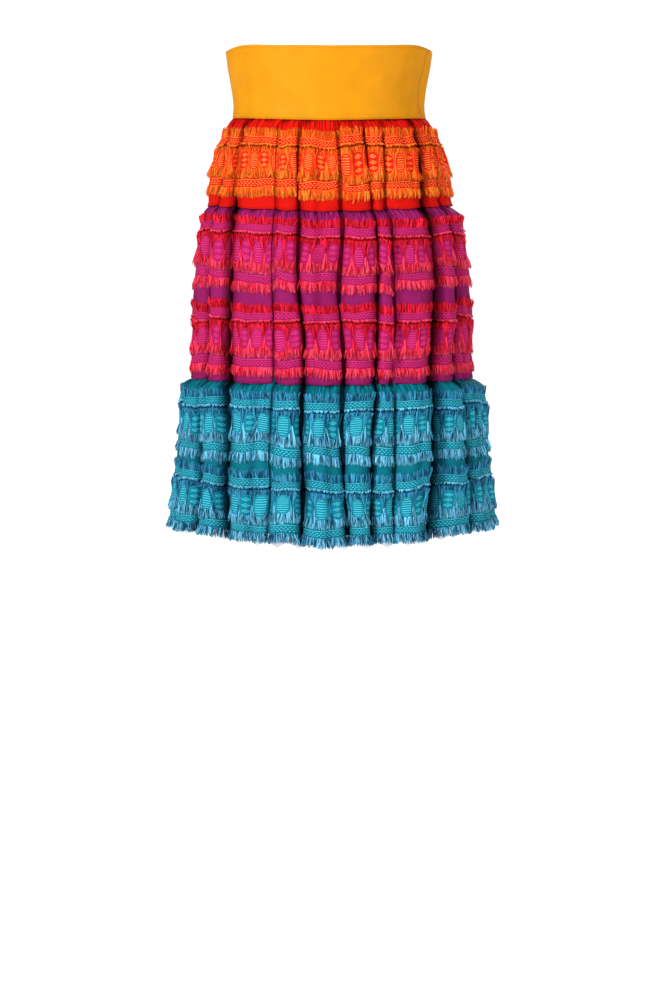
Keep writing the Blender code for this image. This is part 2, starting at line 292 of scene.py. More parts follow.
# A tier's top is tucked up and in behind the one above, whose lower edge stands proud, in mm
TUCKED_ABOVE = 8.0
TUCKED_IN = 2.6
TUCK_SLOPE = 0.25
PROUD_EDGE = 0.8

# How much deeper than the solids' the grooves are, and how dark the painted shade in each of
# them is, in the order of FOLDS. A darker groove is painted with shade further out and from a
# smaller depth in mm, and soft creases get a little painted shade too.
GROOVE_DEEPER = 1.3
GROOVE_SHADE = (
    1.0, 1.1, 1.7, 0.7, 1.2, 0.8, 1.4, 0.6, 1.8, 1.1, 1.0, 1.0, 1.3, 1.0, 1.4, 1.0, 1.3,
    1.0, 1.0,
)
SHADED_RISE = 0.5
SHADED_RISE_MORE = 0.24
SHADED_FROM_DEPTH = 6.0
SHADED_OVER_DEPTH = 18.0
SOFT_CREASE_SHADE = 0.05

# Small irregular forms of the cloth. Cells are the sizes of their patterns round the skirt
# and runs those down it, in mm, depths and lifts are in mm, and folds wander by degrees.
CREASE_CELL = 9.0
CREASE_RUN = 60.0
CREASE_NARROW = 2.2
PUCKER_CELL = 20.0
PUCKER_RUN = 24.0
PUCKER_DEPTH = 2.2
DRAPE_CELL = 26.0
DRAPE_RUN = 110.0
DRAPE_DEPTH = 4.5
RIPPLE_CELL = 20.0
RIPPLE_RUN = 70.0
RIPPLE = 3.2
RING_LIFT = 3.0
RING_LIFT_CELL = 100.0
FOLD_RUN = 55.0
FOLD_WANDER = 3.6
WANDER_DROP = 260.0
LOBE_LIFT = 6.0
LOBE_TILT = 11.0
SEAM_SAG = 2.6

# Distances in mm over which gathers fade out below a seam, and loose forms grow below it
# and fade above a tier's lower edge, and the shares that are left. Near a groove, up to
# OPEN_TO of the way to the crest, the cloth lies close.
GATHERS_FADE = 13.0
GATHERS_LEFT = 0.12
LOOSE_BELOW_SEAM = 12.0
LOOSE_ABOVE_EDGE = 22.0
LOOSE_LEFT = 0.15
OPEN_FROM = 0.06
OPEN_TO = 0.20

# A row of fringe: where its roots and tips lie in the group in mm, how close its threads
# are, how much they stand out and how much lighter they are than others. Where it follows
# the motifs, its roots lie on their outline instead.
FringeRow = namedtuple("FringeRow", "name root tip follows_motifs density stand lightness")
FRINGE_ROWS = (
    FringeRow("top_fringe", 14.0, 2.0, False, 1.0, 0.14, 0.0),
    FringeRow("selvedge", 23.4, 26.6, False, 0.9, 0.30, 0.6),
    FringeRow("upper_fringe", MOTIF_MIDDLE, 27.0, True, 0.75, 0.05, -0.05),
    FringeRow("lower_fringe", MOTIF_MIDDLE, 71.0, True, 0.8, 0.08, 0.0),
    FringeRow("hanging_fringe", 81.6, 95.0, False, 1.3, 0.12, 0.15),
)

# No threads grow this near to a groove, as a share of half a lobe. At the hem they are
# denser and darker, grow nearer to it and cling together less.
BARE_GROOVE = 0.17
HEM_BARE_GROOVE = 0.04
HEM_DENSER = 2.6
HEM_DARKER = 0.45
HEM_TUFT = 3

# Distance from one point to the next of the line that a fringe's roots lie on, in mm
FRINGE_GUIDE_STEP = 1.2

# How strongly threads lean away from the middle of their tuft, which is below 0 because
# they cling to it. How far tufts, threads and strays lean to a side, as shares of their
# length, the share of strays, how much tones differ, and how threads sway together.
CLING = -0.5
TUFT_LEAN = 0.2
THREAD_LEAN = 0.09
STRAY_LEAN = 0.6
STRAY_SHARE = 0.028
TONE_SPREAD = 1.2
SWAYS_A_METRE = 90.0
SWAY = 0.7

# Ranges of how far tufts and threads stand out more than their row, of the lengths of tufts
# and of threads in them, of threads' widths, all as shares, and of tufts' tones
TUFT_STAND = (-0.08, 0.12)
THREAD_STAND = (-0.04, 0.08)
TUFT_LENGTH = (0.84, 1.04)
THREAD_LENGTH = (0.88, 1.04)
THREAD_WIDTH = (0.38, 0.62)
TUFT_TONE = (0.1, 0.75)

# How far threads turn about their length, in radians, and how far their roots stray, in
# mm. How much wider a bent thread is in the middle and how wide a blunt tip is, as shares
# of the width at the root, and how far a bend pushes the middle along, as one of the length.
THREAD_TURN = 1.3
ROOT_STRAY = 0.5
THREAD_BELLY = 0.84
BLUNT_TIP = 0.72
BEND_DROP = 0.22

# How far stitches and the roots of threads lie out from the cloth's surface, in mm
STITCH_OUT = 0.05
ROOT_OUT = 0.15

# Where cut threads lie flat on the cloth under the fringe: their colour, and places in
# mm. Their darkest and lightest tones are these shares of the fringe's own; the low darkest
# share is painted shade between the threads as well as their own tone.
LYING_THREADS = (
    ("upper", 4.0, 14.0),
    ("upper", 24.0, 46.0),
    ("lower", 46.0, 70.0),
    ("lower", 82.0, 92.0),
)
LYING_SHADES = (("dark", 0.3), ("light", 0.92))

# Streaks and ends of the lying threads a millimetre across, their width as a share of
# their length, and how uneven the ends are, in mm
STREAKS_A_MM = 1.1
ENDS_A_MM = 0.9
STREAK_STRETCH = 0.07
RAGGED_ENDS = 8.0

# How much brighter than the braid the ground of the ovals is
MOTIF_GROUND = 1.2

# Relief of the cloth's parts, in steps of the bump's distance, and where the painted shadow
# under the upper braid lies, in mm below its edge
LYING_RELIEF = 3.0
WOVEN_RELIEF = 1.6
GATHERS_RELIEF = 12.0
BRAID_SHADOW = (1.0, 4.0)

# Slubs and cloudy dye of the weave a metre, and how strong the clouds are
SLUBS_A_METRE = 420.0
CLOUDS_A_METRE = 38.0
CLOUDY_DYE = 0.35

# Gathers as the cloth's material shows them: creases a metre, their width as a share of
# their length, how far below the seam they end and how softly, in mm, how dark their
# painted shade is, and how much painted light lightens the cloth between them near the seam
GATHERS_A_METRE = 125.0
GATHERS_STRETCH = 0.16
GATHERS_END = (9.0, 6.0)
GATHERS_PAINTED_SHADE = 1.05
GATHERS_PAINTED_LIGHT = 0.3

# A seam of the waistband: the half width and softness of its ditch in mm, how dark the
# painted shadow in it is, and how deep it is
SEAM_DITCH = (0.6, 0.5)
SEAM_PAINTED_SHADOW = 0.65
SEAM_RELIEF = 3.0

# Camera: 4.5 m in front of the skirt's axis
CAMERA_PLACE = (0.001, -4.5, -0.246)
CAMERA_AIM_Z = -0.49
CAMERA_LENS = 130.9

# Studio: the floor in metres, and how bright the air and the floor are, to the camera and
# as light on the skirt
FLOOR_Z = -1.1
FLOOR_RADIUS = 14.0
FLOOR_SIDES = 48
AIR_SEEN = 1.1
AIR_LIGHT = 0.25
FLOOR_SEEN = 1.15
FLOOR_GLOW = 0.25

# Soft lights: name, place and size in metres, and power in watts. All aim at one height.
LIGHTS = (
    ("Key light", (-2.4, -2.8, 1.1), (0.6, 0.8), 152.0),
    ("Fill light", (2.8, -2.4, 0.6), (1.2, 1.6), 66.0),
    ("Top light", (0.0, -1.2, 2.6), (1.8, 1.8), 26.0),
    ("Back light", (0.8, 3.2, 0.9), (1.6, 1.6), 70.0),
)
LIGHT_AIM_Z = -0.28

# How dark the painted shade of the cloth and the threads in a groove is, how dark the painted
# shadow on the cloth just under the upper braid is, and how much richer the dye is painted in
# that shade
CLOTH_GROOVE_SHADE = 0.74
THREAD_GROOVE_SHADE = 0.75
UNDER_BRAID_SHADOW = 0.35
PAINTED_SHADE_RICHER = 0.6

# Endings of the names of a tier's colours, what they colour, and the colours in that order
TIER_COLOURS = {
    "": "cloth",
    "_tape": "woven bands",
    "_light": "woven figures",
    "_upper_dark": "darkest standing thread",
    "_upper_light": "lightest standing thread",
    "_lower_dark": "darkest hanging thread",
    "_lower_light": "lightest hanging thread",
}
TIER_DYES = {
    "red": (
        (0.50, 0.005, 0.002),
        (0.56, 0.009, 0.004),
        (0.95, 0.27, 0.045),
        (0.88, 0.028, 0.003),
        (1.0, 0.24, 0.018),
        (0.95, 0.04, 0.003),
        (1.0, 0.31, 0.03),
    ),
    "purple": (
        (0.21, 0.008, 0.085),
        (0.29, 0.006, 0.075),
        (0.60, 0.036, 0.16),
        (0.42, 0.001, 0.01),
        (1.0, 0.02, 0.07),
        (0.62, 0.001, 0.02),
        (1.0, 0.08, 0.175),
    ),
    "teal": (
        (0.001, 0.125, 0.17),
        (0.001, 0.15, 0.205),
        (0.08, 0.47, 0.61),
        (0.001, 0.065, 0.14),
        (0.06, 0.42, 0.67),
        (0.001, 0.07, 0.15),
        (0.21, 0.72, 1.0),
    ),
}

# Kinds of sockets of node groups
FLOAT = "NodeSocketFloat"
INTEGER = "NodeSocketInt"
VECTOR = "NodeSocketVector"
GEOMETRY = "NodeSocketGeometry"
MATERIAL = "NodeSocketMaterial"


def length_property(name, description, default, low, high):
    return bpy.props.FloatProperty(
        name=name,
        description=description,
        default=default * MM,
        min=low * MM,
        max=high * MM,
        unit="LENGTH",
    )


def count_property(name, description, default, low, high):
    return bpy.props.IntProperty(
        name=name, description=description, default=default, min=low, max=high
    )


class SkirtSizes(bpy.types.PropertyGroup):
    """Sizes that a user would change."""

    cloth_thickness: length_property(
        "Cloth thickness", "Thickness of the tiers' cloth", 0.9, 0.2, 2.0
    )
    waistband_thickness: length_property(
        "Waistband thickness", "Thickness of the faced waistband", 2.2, 0.5, 3.0
    )
    gather_depth: length_property(
        "Gather depth", "Depth of the small creases under each gathered seam", 2.4, 0.0, 5.0
    )
    motif_pitch: bpy.props.FloatVectorProperty(
        name="Motif pitch",
        description="Distance from one woven motif to the next on the three tiers",
        default=(14.6 * MM, 16.8 * MM, 18.6 * MM),
        min=8.0 * MM,
        max=40.0 * MM,
        size=3,
        unit="LENGTH",
    )
    strands_a_metre: count_property(
        "Strands a metre", "Fringe threads along one metre of cloth", 1900, 200, 3000
    )
    strand_width: length_property(
        "Strand width", "Width of one fringe thread at its root", 0.86, 0.2, 2.0
    )
    tuft_threads: count_property(
        "Threads a tuft", "How many fringe threads cling together at their ends", 9, 1, 30
    )
    stitch_pitch: length_property(
        "Stitch pitch", "Distance from one topstitch to the next", 2.8, 1.5, 6.0
    )
    seed: count_property("Seed", "Seed of everything irregular", 7, 0, 1000)


def colour_property(name, value):
    return bpy.props.FloatVectorProperty(
        name=name,
        description=f"Colour of the {name.lower()}",
        subtype="COLOR",
        size=3,
        min=0.0,
        max=1.0,
        default=value,
    )


class SkirtColours(bpy.types.PropertyGroup):
    """Cloth and thread colours."""

    marigold: colour_property("Waistband cloth", (0.575, 0.222, 0.001))
    marigold_thread: colour_property("Waistband stitching", (0.42, 0.13, 0.001))
    lining: colour_property("Lining", (0.86, 0.85, 0.88))
    floor: colour_property("Floor", (0.92, 0.92, 0.92))


for tier_name, dyes in TIER_DYES.items():
    for (part, label), dye in zip(TIER_COLOURS.items(), dyes):
        dye_property = colour_property(f"{tier_name.title()} tier's {label}", dye)
        SkirtColours.__annotations__[tier_name + part] = dye_property


def sizes():
    return bpy.context.scene.skirt_sizes


def colours():
    return bpy.context.scene.skirt_colours


# Node trees


class TreeBuilder:
    """Adds nodes to a tree. An input may be given a socket or a plain value."""

    def __init__(self, tree):
        self.tree = tree

    def feed(self, socket, value):
        if isinstance(value, bpy.types.NodeSocket):
            self.tree.links.new(value, socket)
        else:
            socket.default_value = value

    def node(self, kind, inputs=None, **settings):
        made = self.tree.nodes.new(kind)
        for key, value in settings.items():
            setattr(made, key, value)
        for key, value in (inputs or {}).items():
            self.feed(made.inputs[key], value)
        return made

    def result(self, kind, inputs=None, **settings):
        """The first output of a new node."""
        return self.node(kind, inputs, **settings).outputs[0]

    def math(self, operation, *values, clamp=False):
        settings = {"operation": operation, "use_clamp": clamp}
        return self.result("ShaderNodeMath", dict(enumerate(values)), **settings)

    def plus(self, *values):
        return self.math("ADD", *values)

    def minus(self, *values, clamp=False):
        return self.math("SUBTRACT", *values, clamp=clamp)

    def times(self, *values, clamp=False):
        return self.math("MULTIPLY", *values, clamp=clamp)

    def over(self, *values):
        return self.math("DIVIDE", *values)

    def clouds(self, place, scale, detail=2.0):
        """Smooth noise from 0 to 1, with features about as large as 1 / scale."""
        inputs = {"Vector": place, "Scale": scale, "Detail": detail}
        return self.result("ShaderNodeTexNoise", inputs)

    def split(self, vector):
        return self.node("ShaderNodeSeparateXYZ", {0: vector}).outputs

    def joined(self, parts):
        return self.result("ShaderNodeCombineXYZ", parts)

    def uv(self, layer):
        return self.node("ShaderNodeUVMap", uv_map=layer).outputs["UV"]

    def attribute(self, name):
        return self.node("ShaderNodeAttribute", attribute_name=name).outputs["Fac"]

    def vector(self, operation, *values):
        settings = {"operation": operation}
        made = self.node("ShaderNodeVectorMath", dict(enumerate(values)), **settings)
        return made.outputs["Value" if operation == "DOT_PRODUCT" else "Vector"]

    def scaled(self, vector, amount):
        made = self.node("ShaderNodeVectorMath", {0: vector}, operation="SCALE")
        self.feed(made.inputs["Scale"], amount)
        return made.outputs["Vector"]

    def mix(self, share, start, end):
        made = self.node("ShaderNodeMix", {0: share}, data_type="RGBA")
        self.feed(made.inputs[6], start)
        self.feed(made.inputs[7], end)
        return made.outputs[2]

    def inside(self, value, low, high, edge):
        """1 where a value lies between two limits, with soft edges."""
        middle = (low + high) / 2
        half = (high - low) / 2
        away = self.math("ABSOLUTE", self.minus(value, middle))
        return self.below(away, half, edge)

    def below(self, value, limit, edge):
        """1 where a value is under a limit, with a soft edge."""
        return self.node(
            "ShaderNodeMapRange",
            {"Value": value, "From Min": limit + edge, "From Max": limit - edge},
            interpolation_type="SMOOTHSTEP",
        ).outputs["Result"]


def new_group(name, tree_type, inputs, outputs):
    """A node group with named sockets, and its input and output nodes."""
    tree = bpy.data.node_groups.new(name, tree_type)
    for label, kind, default in inputs:
        socket = tree.interface.new_socket(label, in_out="INPUT", socket_type=kind)
        if default is not None:
            socket.default_value = default
    for label, kind in outputs:
        tree.interface.new_socket(label, in_out="OUTPUT", socket_type=kind)
    start = tree.nodes.new("NodeGroupInput")
    end = tree.nodes.new("NodeGroupOutput")
    return TreeBuilder(tree), start.outputs, end.inputs


def use_group(build, group, inputs):
    return build.node("ShaderNodeGroup", inputs, node_tree=bpy.data.node_groups[group]).outputs


def make_weave_group():
    """Crossing threads and soft slubs, from a cloth position in metres."""
    build, given, out = new_group(
        "Weave",
        "ShaderNodeTree",
        (
            ("Cloth position", VECTOR, None),
            ("Threads a metre", FLOAT, 1400.0),
            ("Slub", FLOAT, 0.5),
        ),
        (("Height", FLOAT), ("Shade", FLOAT)),
    )
    turns = build.scaled(given["Cloth position"], given["Threads a metre"])
    split = build.split(turns)
    warp = build.math("SINE", build.times(split["X"], math.tau))
    weft = build.math("SINE", build.times(split["Y"], math.tau))
    threads = build.times(warp, weft)
    slubs = build.clouds(given["Cloth position"], SLUBS_A_METRE, 3.0)
    soft = build.clouds(given["Cloth position"], CLOUDS_A_METRE)
    uneven = build.times(build.minus(slubs, 0.5), given["Slub"])
    build.feed(out["Height"], build.plus(build.times(threads, 0.3), uneven))
    drift = build.times(build.minus(soft, 0.5), CLOUDY_DYE)
    build.feed(out["Shade"], build.plus(build.plus(1.0, uneven), drift))


def make_gathers_group():
    """Puffs and tight creases that run down from a gathered seam and fade, with painted shade in
    the creases and painted light near the seam.
    """
    build, given, out = new_group(
        "Gathers",
        "ShaderNodeTree",
        (("Cloth position", VECTOR, None),),
        (("Height", FLOAT), ("Shade", FLOAT)),
    )
    stretched = build.vector("MULTIPLY", given["Cloth position"], (1.0, GATHERS_STRETCH, 1.0))
    wave = build.clouds(stretched, GATHERS_A_METRE, 0.0)
    away = build.math("ABSOLUTE", build.minus(wave, 0.5))
    puff = build.math("POWER", build.times(away, 12.0, clamp=True), 0.7)
    hollow = build.minus(1.0, puff)
    down = build.split(given["Cloth position"])["Y"]
    end, softness = GATHERS_END
    near_seam = build.below(down, end * MM, softness * MM)
    deep = build.times(hollow, near_seam)
    build.feed(out["Height"], build.times(deep, -1.0))
    # Painted light on the cloth near the seam, and painted shade in the creases
    lit = build.times(near_seam, GATHERS_PAINTED_LIGHT)
    shade = build.minus(1.0, build.times(deep, GATHERS_PAINTED_SHADE))
    build.feed(out["Shade"], build.plus(shade, lit))


def make_braid_group():
    """A narrow braid: three rows of short dashes between two border lines."""
    build, given, out = new_group(
        "Braid",
        "ShaderNodeTree",
        (("Along", FLOAT, 0.0), ("Across", FLOAT, 0.0)),
        (("Band", FLOAT), ("Figure", FLOAT)),
    )
    along = given["Along"]
    across = given["Across"]
    from_top = build.plus(across, DASH_ROWS_HALF)
    row = build.math("FLOOR", build.over(from_top, DASH_ROW_PITCH))
    odd = build.math("MODULO", build.math("ABSOLUTE", row), 2.0)
    shifted = build.plus(along, build.times(odd, DASH_PITCH / 2))
    in_pitch = build.minus(build.math("WRAP", shifted, DASH_PITCH, 0.0), DASH_PITCH / 2)
    row_top = build.times(row, DASH_ROW_PITCH)
    in_row = build.minus(build.minus(from_top, row_top), DASH_ROW_PITCH / 2)
    away = build.math("ABSOLUTE", across)
    dash = build.inside(in_pitch, -DASH_HALF_LENGTH, DASH_HALF_LENGTH, 0.3)
    dash = build.times(dash, build.inside(in_row, -DASH_HALF_HEIGHT, DASH_HALF_HEIGHT, 0.2))
    dash = build.times(dash, build.below(away, DASH_ROWS_HALF + 0.1, 0.1))
    border = build.inside(away, *BRAID_BORDER, 0.2)
    build.feed(out["Band"], build.below(away, BRAID_HALF_WIDTH, 0.15))
    build.feed(out["Figure"], build.math("MAXIMUM", dash, border))


def make_ovals_group():
    """Upright ovals, filled in turn with stripes and with a column of three diamonds."""
    build, given, out = new_group(
        "Ovals",
        "ShaderNodeTree",
        (("Along", FLOAT, 0.0), ("Across", FLOAT, 0.0), ("Pitch", FLOAT, 16.8)),
        (("Motif", FLOAT), ("Figure", FLOAT)),
    )
    pitch = given["Pitch"]
    steps = build.over(given["Along"], pitch)
    number = build.math("FLOOR", steps)
    centred = build.times(build.minus(build.minus(steps, number), 0.5), pitch)
    half_width = build.times(pitch, MOTIF_WIDTH_SHARE / 2)
    wide = build.over(build.math("ABSOLUTE", centred), half_width)
    high = build.over(build.math("ABSOLUTE", given["Across"]), MOTIF_HALF_HEIGHT)
    wide_power = build.math("POWER", wide, MOTIF_POWER)
    reach = build.plus(wide_power, build.math("POWER", high, MOTIF_POWER))
    in_stripe = build.math("WRAP", given["Across"], STRIPE_PITCH, 0.0)
    stripes = build.inside(in_stripe, *STRIPE, 0.3)
    stripes = build.times(stripes, build.below(reach, 0.55, 0.06))
    stripes = build.times(stripes, build.below(wide, 0.72, 0.05))
    step = build.math("WRAP", given["Across"], DIAMOND_HALF_PITCH, -DIAMOND_HALF_PITCH)
    slope = build.plus(build.times(build.math("ABSOLUTE", step), DIAMOND_SLOPE), wide)
    line = build.inside(slope, *DIAMOND_LINE, 0.06)
    diamonds = build.math("MAXIMUM", build.below(slope, DIAMOND, 0.06), line)
    diamonds = build.times(diamonds, build.below(high, 0.8, 0.02))
    odd = build.math("MODULO", build.math("ABSOLUTE", number), 2.0)
    figure = build.result("ShaderNodeMix", {0: odd, 2: stripes, 3: diamonds})
    rim = build.inside(reach, OVAL_RIM, 1.0, 0.06)
    build.feed(out["Motif"], build.below(reach, 1.0, 0.06))
    build.feed(out["Figure"], build.math("MAXIMUM", figure, build.times(rim, 0.5)))


def new_material(name, roughness, sheen=0.0, specular=0.1):
    material = bpy.data.materials.new(name)
    material.use_nodes = True
    build = TreeBuilder(material.node_tree)
    shader = material.node_tree.nodes["Principled BSDF"]
    shader.inputs["Roughness"].default_value = roughness
    shader.inputs["Sheen Weight"].default_value = sheen
    shader.inputs["Sheen Roughness"].default_value = 0.4
    shader.inputs["Specular IOR Level"].default_value = specular
    return material, build, shader


def opaque(colour):
    return (*colour, 1.0)


def bump(build, shader, height, strength, distance):
    inputs = {"Height": height, "Strength": strength, "Distance": distance}
    made = build.node("ShaderNodeBump", inputs)
    build.feed(shader.inputs["Normal"], made.outputs["Normal"])


def shaded(build, colour, shade):
    made = build.node("ShaderNodeMix", {0: 1.0}, data_type="RGBA", blend_type="MULTIPLY")
    build.feed(made.inputs[6], colour)
    build.feed(made.inputs[7], shade)
    return made.outputs[2]


def with_painted_shade(build, colour, share, depth):
    """The colour with painted shade: darker by a depth and richer where the share is 1, as
    dyed cloth looks in the shade of its own folds."""
    power = build.math("MULTIPLY_ADD", share, PAINTED_SHADE_RICHER, 1.0)
    richer = build.result("ShaderNodeGamma", {"Color": colour, "Gamma": power})
    return shaded(build, richer, build.math("MULTIPLY_ADD", share, -depth, 1.0))


def with_groove_shade(build, colour, depth):
    """The colour with painted shade where cloth lies deep between its folds."""
    return with_painted_shade(build, colour, build.attribute("hollow"), depth)


def plain_cloth(name, colour, roughness, slub, seams=()):
    """Plain woven cloth, read from the piece's own cloth position, with a painted shadow line
    and a ditch at each seam, given as places across the cloth in metres."""
    material, build, shader = new_material(name, roughness, sheen=0.03)
    place = build.uv("cloth")
    weave = use_group(build, "Weave", {"Cloth position": place, "Slub": slub})
    base = shaded(build, opaque(colour), weave["Shade"])
    height = weave["Height"]
    across = build.split(place)["X"]
    for seam in seams:
        half, softness = (length * MM for length in SEAM_DITCH)
        ditch = build.inside(across, seam - half, seam + half, softness)
        # Painted shadow along the seam's ditch
        base = shaded(build, base, build.math("MULTIPLY_ADD", ditch, -SEAM_PAINTED_SHADOW, 1.0))
        height = build.minus(height, build.times(ditch, SEAM_RELIEF))
    build.feed(shader.inputs["Base Color"], base)
    bump(build, shader, height, strength=0.35, distance=0.2 * MM)
    return material


def make_lying_threads_group():
    """Threads lying close together under the fringe, between two places in a group."""
    build, given, out = new_group(
        "Lying threads",
        "ShaderNodeTree",
        (("Group position", VECTOR, None), ("Top", FLOAT, 0.0), ("Bottom", FLOAT, 10.0)),
        (("Cover", FLOAT), ("Tone", FLOAT)),
    )
    stretched = build.vector("MULTIPLY", given["Group position"], (1.0, STREAK_STRETCH, 1.0))
    streaks = build.clouds(stretched, STREAKS_A_MM)
    ends = build.clouds(stretched, ENDS_A_MM, 1.0)
    down = build.split(given["Group position"])["Y"]
    ragged = build.times(build.minus(ends, 0.5), RAGGED_ENDS)
    from_top = build.minus(build.plus(down, ragged), given["Top"])
    from_bottom = build.minus(given["Bottom"], build.minus(down, ragged))
    nearest = build.math("MINIMUM", from_top, from_bottom)
    cover = build.minus(1.0, build.below(nearest, 0.0, 0.3))
    tone = build.times(build.minus(streaks, 0.33), 2.6, clamp=True)
    build.feed(out["Cover"], cover)
    build.feed(out["Tone"], tone)


def banded_cloth(name, given, pitch):
    """A tier's cloth with its woven bands, placed by the piece's own band position."""
    material, build, shader = new_material(name, roughness=0.72, specular=0.05)
    place = build.uv("cloth")
    weave = use_group(build, "Weave", {"Cloth position": place, "Slub": 0.5})
    group_place = build.uv("bands")
    in_mm = build.scaled(group_place, 1000.0)
    split = build.split(in_mm)
    colour = opaque(given[""])
    height = weave["Height"]
    for part, top, bottom in LYING_THREADS:
        inputs = {"Group position": in_mm, "Top": top, "Bottom": bottom}
        streak = use_group(build, "Lying threads", inputs)
        # The dark end is painted shade between the threads as well as their own darker tone
        dark, pale = (
            opaque(tuple(share * channel for channel in given[f"_{part}_{end}"]))
            for end, share in LYING_SHADES
        )
        threads = build.mix(streak["Tone"], dark, pale)
        colour = build.mix(streak["Cover"], colour, threads)
        relief = build.times(streak["Cover"], streak["Tone"])
        height = build.plus(height, build.times(relief, LYING_RELIEF))
    for top, bottom in (UPPER_BRAID, LOWER_BRAID):
        across = build.minus(split["Y"], (top + bottom) / 2)
        braid = use_group(build, "Braid", {"Along": split["X"], "Across": across})
        colour = build.mix(braid["Band"], colour, opaque(given["_tape"]))
        colour = build.mix(braid["Figure"], colour, opaque(given["_light"]))
        height = build.plus(height, build.times(braid["Figure"], WOVEN_RELIEF))
    across = build.minus(split["Y"], MOTIF_MIDDLE)
    motif = use_group(build, "Ovals", {"Along": split["X"], "Across": across, "Pitch": pitch})
    ground = tuple(MOTIF_GROUND * channel for channel in given["_tape"])
    colour = build.mix(motif["Motif"], colour, opaque(ground))
    colour = build.mix(motif["Figure"], colour, opaque(given["_light"]))
    height = build.plus(height, build.times(motif["Figure"], WOVEN_RELIEF))
    gathers = use_group(build, "Gathers", {"Cloth position": place})
    height = build.plus(height, build.times(gathers["Height"], GATHERS_RELIEF))
    colour = shaded(build, colour, weave["Shade"])
    # Painted shade in the gathers' creases and painted light near the seam
    colour = shaded(build, colour, gathers["Shade"])
    # Painted shade in the grooves between the folds, darker and richer
    colour = with_groove_shade(build, colour, CLOTH_GROOVE_SHADE)
    # Painted shadow on the cloth just under the upper braid
    shadow_top, shadow_bottom = (UPPER_BRAID[1] + place for place in BRAID_SHADOW)
    under_braid_shadow = build.inside(split["Y"], shadow_top, shadow_bottom, 0.8)
    colour = with_painted_shade(build, colour, under_braid_shadow, UNDER_BRAID_SHADOW)
    build.feed(shader.inputs["Base Color"], colour)
    bump(build, shader, height, strength=0.6, distance=0.25 * MM)
    return material


def fringe_thread(name, dark, light):
    """Cut threads, each with its own tone, darker at the root and lighter at the tip, with
    painted shade where they grow in a groove.
    """
    material, build, shader = new_material(name, roughness=0.42)
    share = build.times(build.attribute("along"), 0.4)
    share = build.plus(share, build.times(build.attribute("tone"), 0.8))
    share = build.minus(share, 0.1, clamp=True)
    colour = build.mix(share, opaque(dark), opaque(light))
    # Painted shade on threads that grow in a groove
    build.feed(shader.inputs["Base Color"], with_groove_shade(build, colour, THREAD_GROOVE_SHADE))
    return material


def stitch_thread(name, colour):
    material, build, shader = new_material(name, roughness=0.5)
    place = build.node("ShaderNodeTexCoord").outputs["Object"]
    twist = build.clouds(place, 2500.0)
    shade = build.plus(0.75, build.times(twist, 0.5))
    build.feed(shader.inputs["Base Color"], shaded(build, opaque(colour), shade))
    return material


# Cloth form


def mix(start, end, share):
    return start + (end - start) * share


def unit(vectors):
    """Vectors of the same directions and a length of 1."""
    return vectors / np.linalg.norm(vectors, axis=-1, keepdims=True)


def lengths_round(ring):
    """Distance along a closed ring to each of its points, and last to the first again."""
    steps = np.linalg.norm(np.roll(ring, -1, 0) - ring, axis=1)
    return np.concatenate([[0.0], np.cumsum(steps)])


def smooth_value(stops, at):
    """Value on a smooth curve through (position, value) stops."""
    slopes = []
    for i in range(len(stops)):
        before = stops[max(i - 1, 0)]
        after = stops[min(i + 1, len(stops) - 1)]
        slopes.append((after[1] - before[1]) / (after[0] - before[0]))
    for i in range(len(stops) - 1):
        (left, low), (right, high) = stops[i], stops[i + 1]
        if at <= right or i == len(stops) - 2:
            span = right - left
            t = min(max((at - left) / span, 0.0), 1.0)
            rise = 3 * t**2 - 2 * t**3
            return (
                mix(low, high, rise)
                + (t**3 - 2 * t**2 + t) * span * slopes[i]
                + (t**3 - t**2) * span * slopes[i + 1]
            )


def outline_at(sections, down):
    """The section at a share of the way down a piece, on smooth curves."""
    return Section(
        down,
        smooth_value([(s.down, s.half_width) for s in sections], down),
        smooth_value([(s.down, s.half_depth) for s in sections], down),
        smooth_value([(s.down, s.shift) for s in sections], down),
    )


def edge_heights(edge, angles):
    return edge.side_z - edge.drop * np.cos(np.radians(angles)) ** 2


def outline_points(section, angles, insets, heights):
    """Points set in from a section's ellipse along its normals, in mm."""
    across = np.sin(np.radians(angles))
    forward = -np.cos(np.radians(angles))
    normal = unit(np.stack([across / section.half_width, forward / section.half_depth], 1))
    x = section.half_width * across + section.shift - normal[:, 0] * insets
    y = section.half_depth * forward - normal[:, 1] * insets
    return np.stack([x, y, heights], 1)


def plan_normals(ring):
    """Outward directions of a closed ring, square to it in plan."""
    along = np.roll(ring, -1, 0) - np.roll(ring, 1, 0)
    return unit(np.stack([along[:, 1], -along[:, 0], np.zeros(len(ring))], 1))


def ring_noise(turns, radius, down, seed):
    """Noise round a closed ring, with no break where it closes."""
    return np.array(
        [
            noise.noise(Vector((radius * math.cos(turn), radius * math.sin(turn), down + seed)))
            for turn in turns * math.tau
        ]
    )


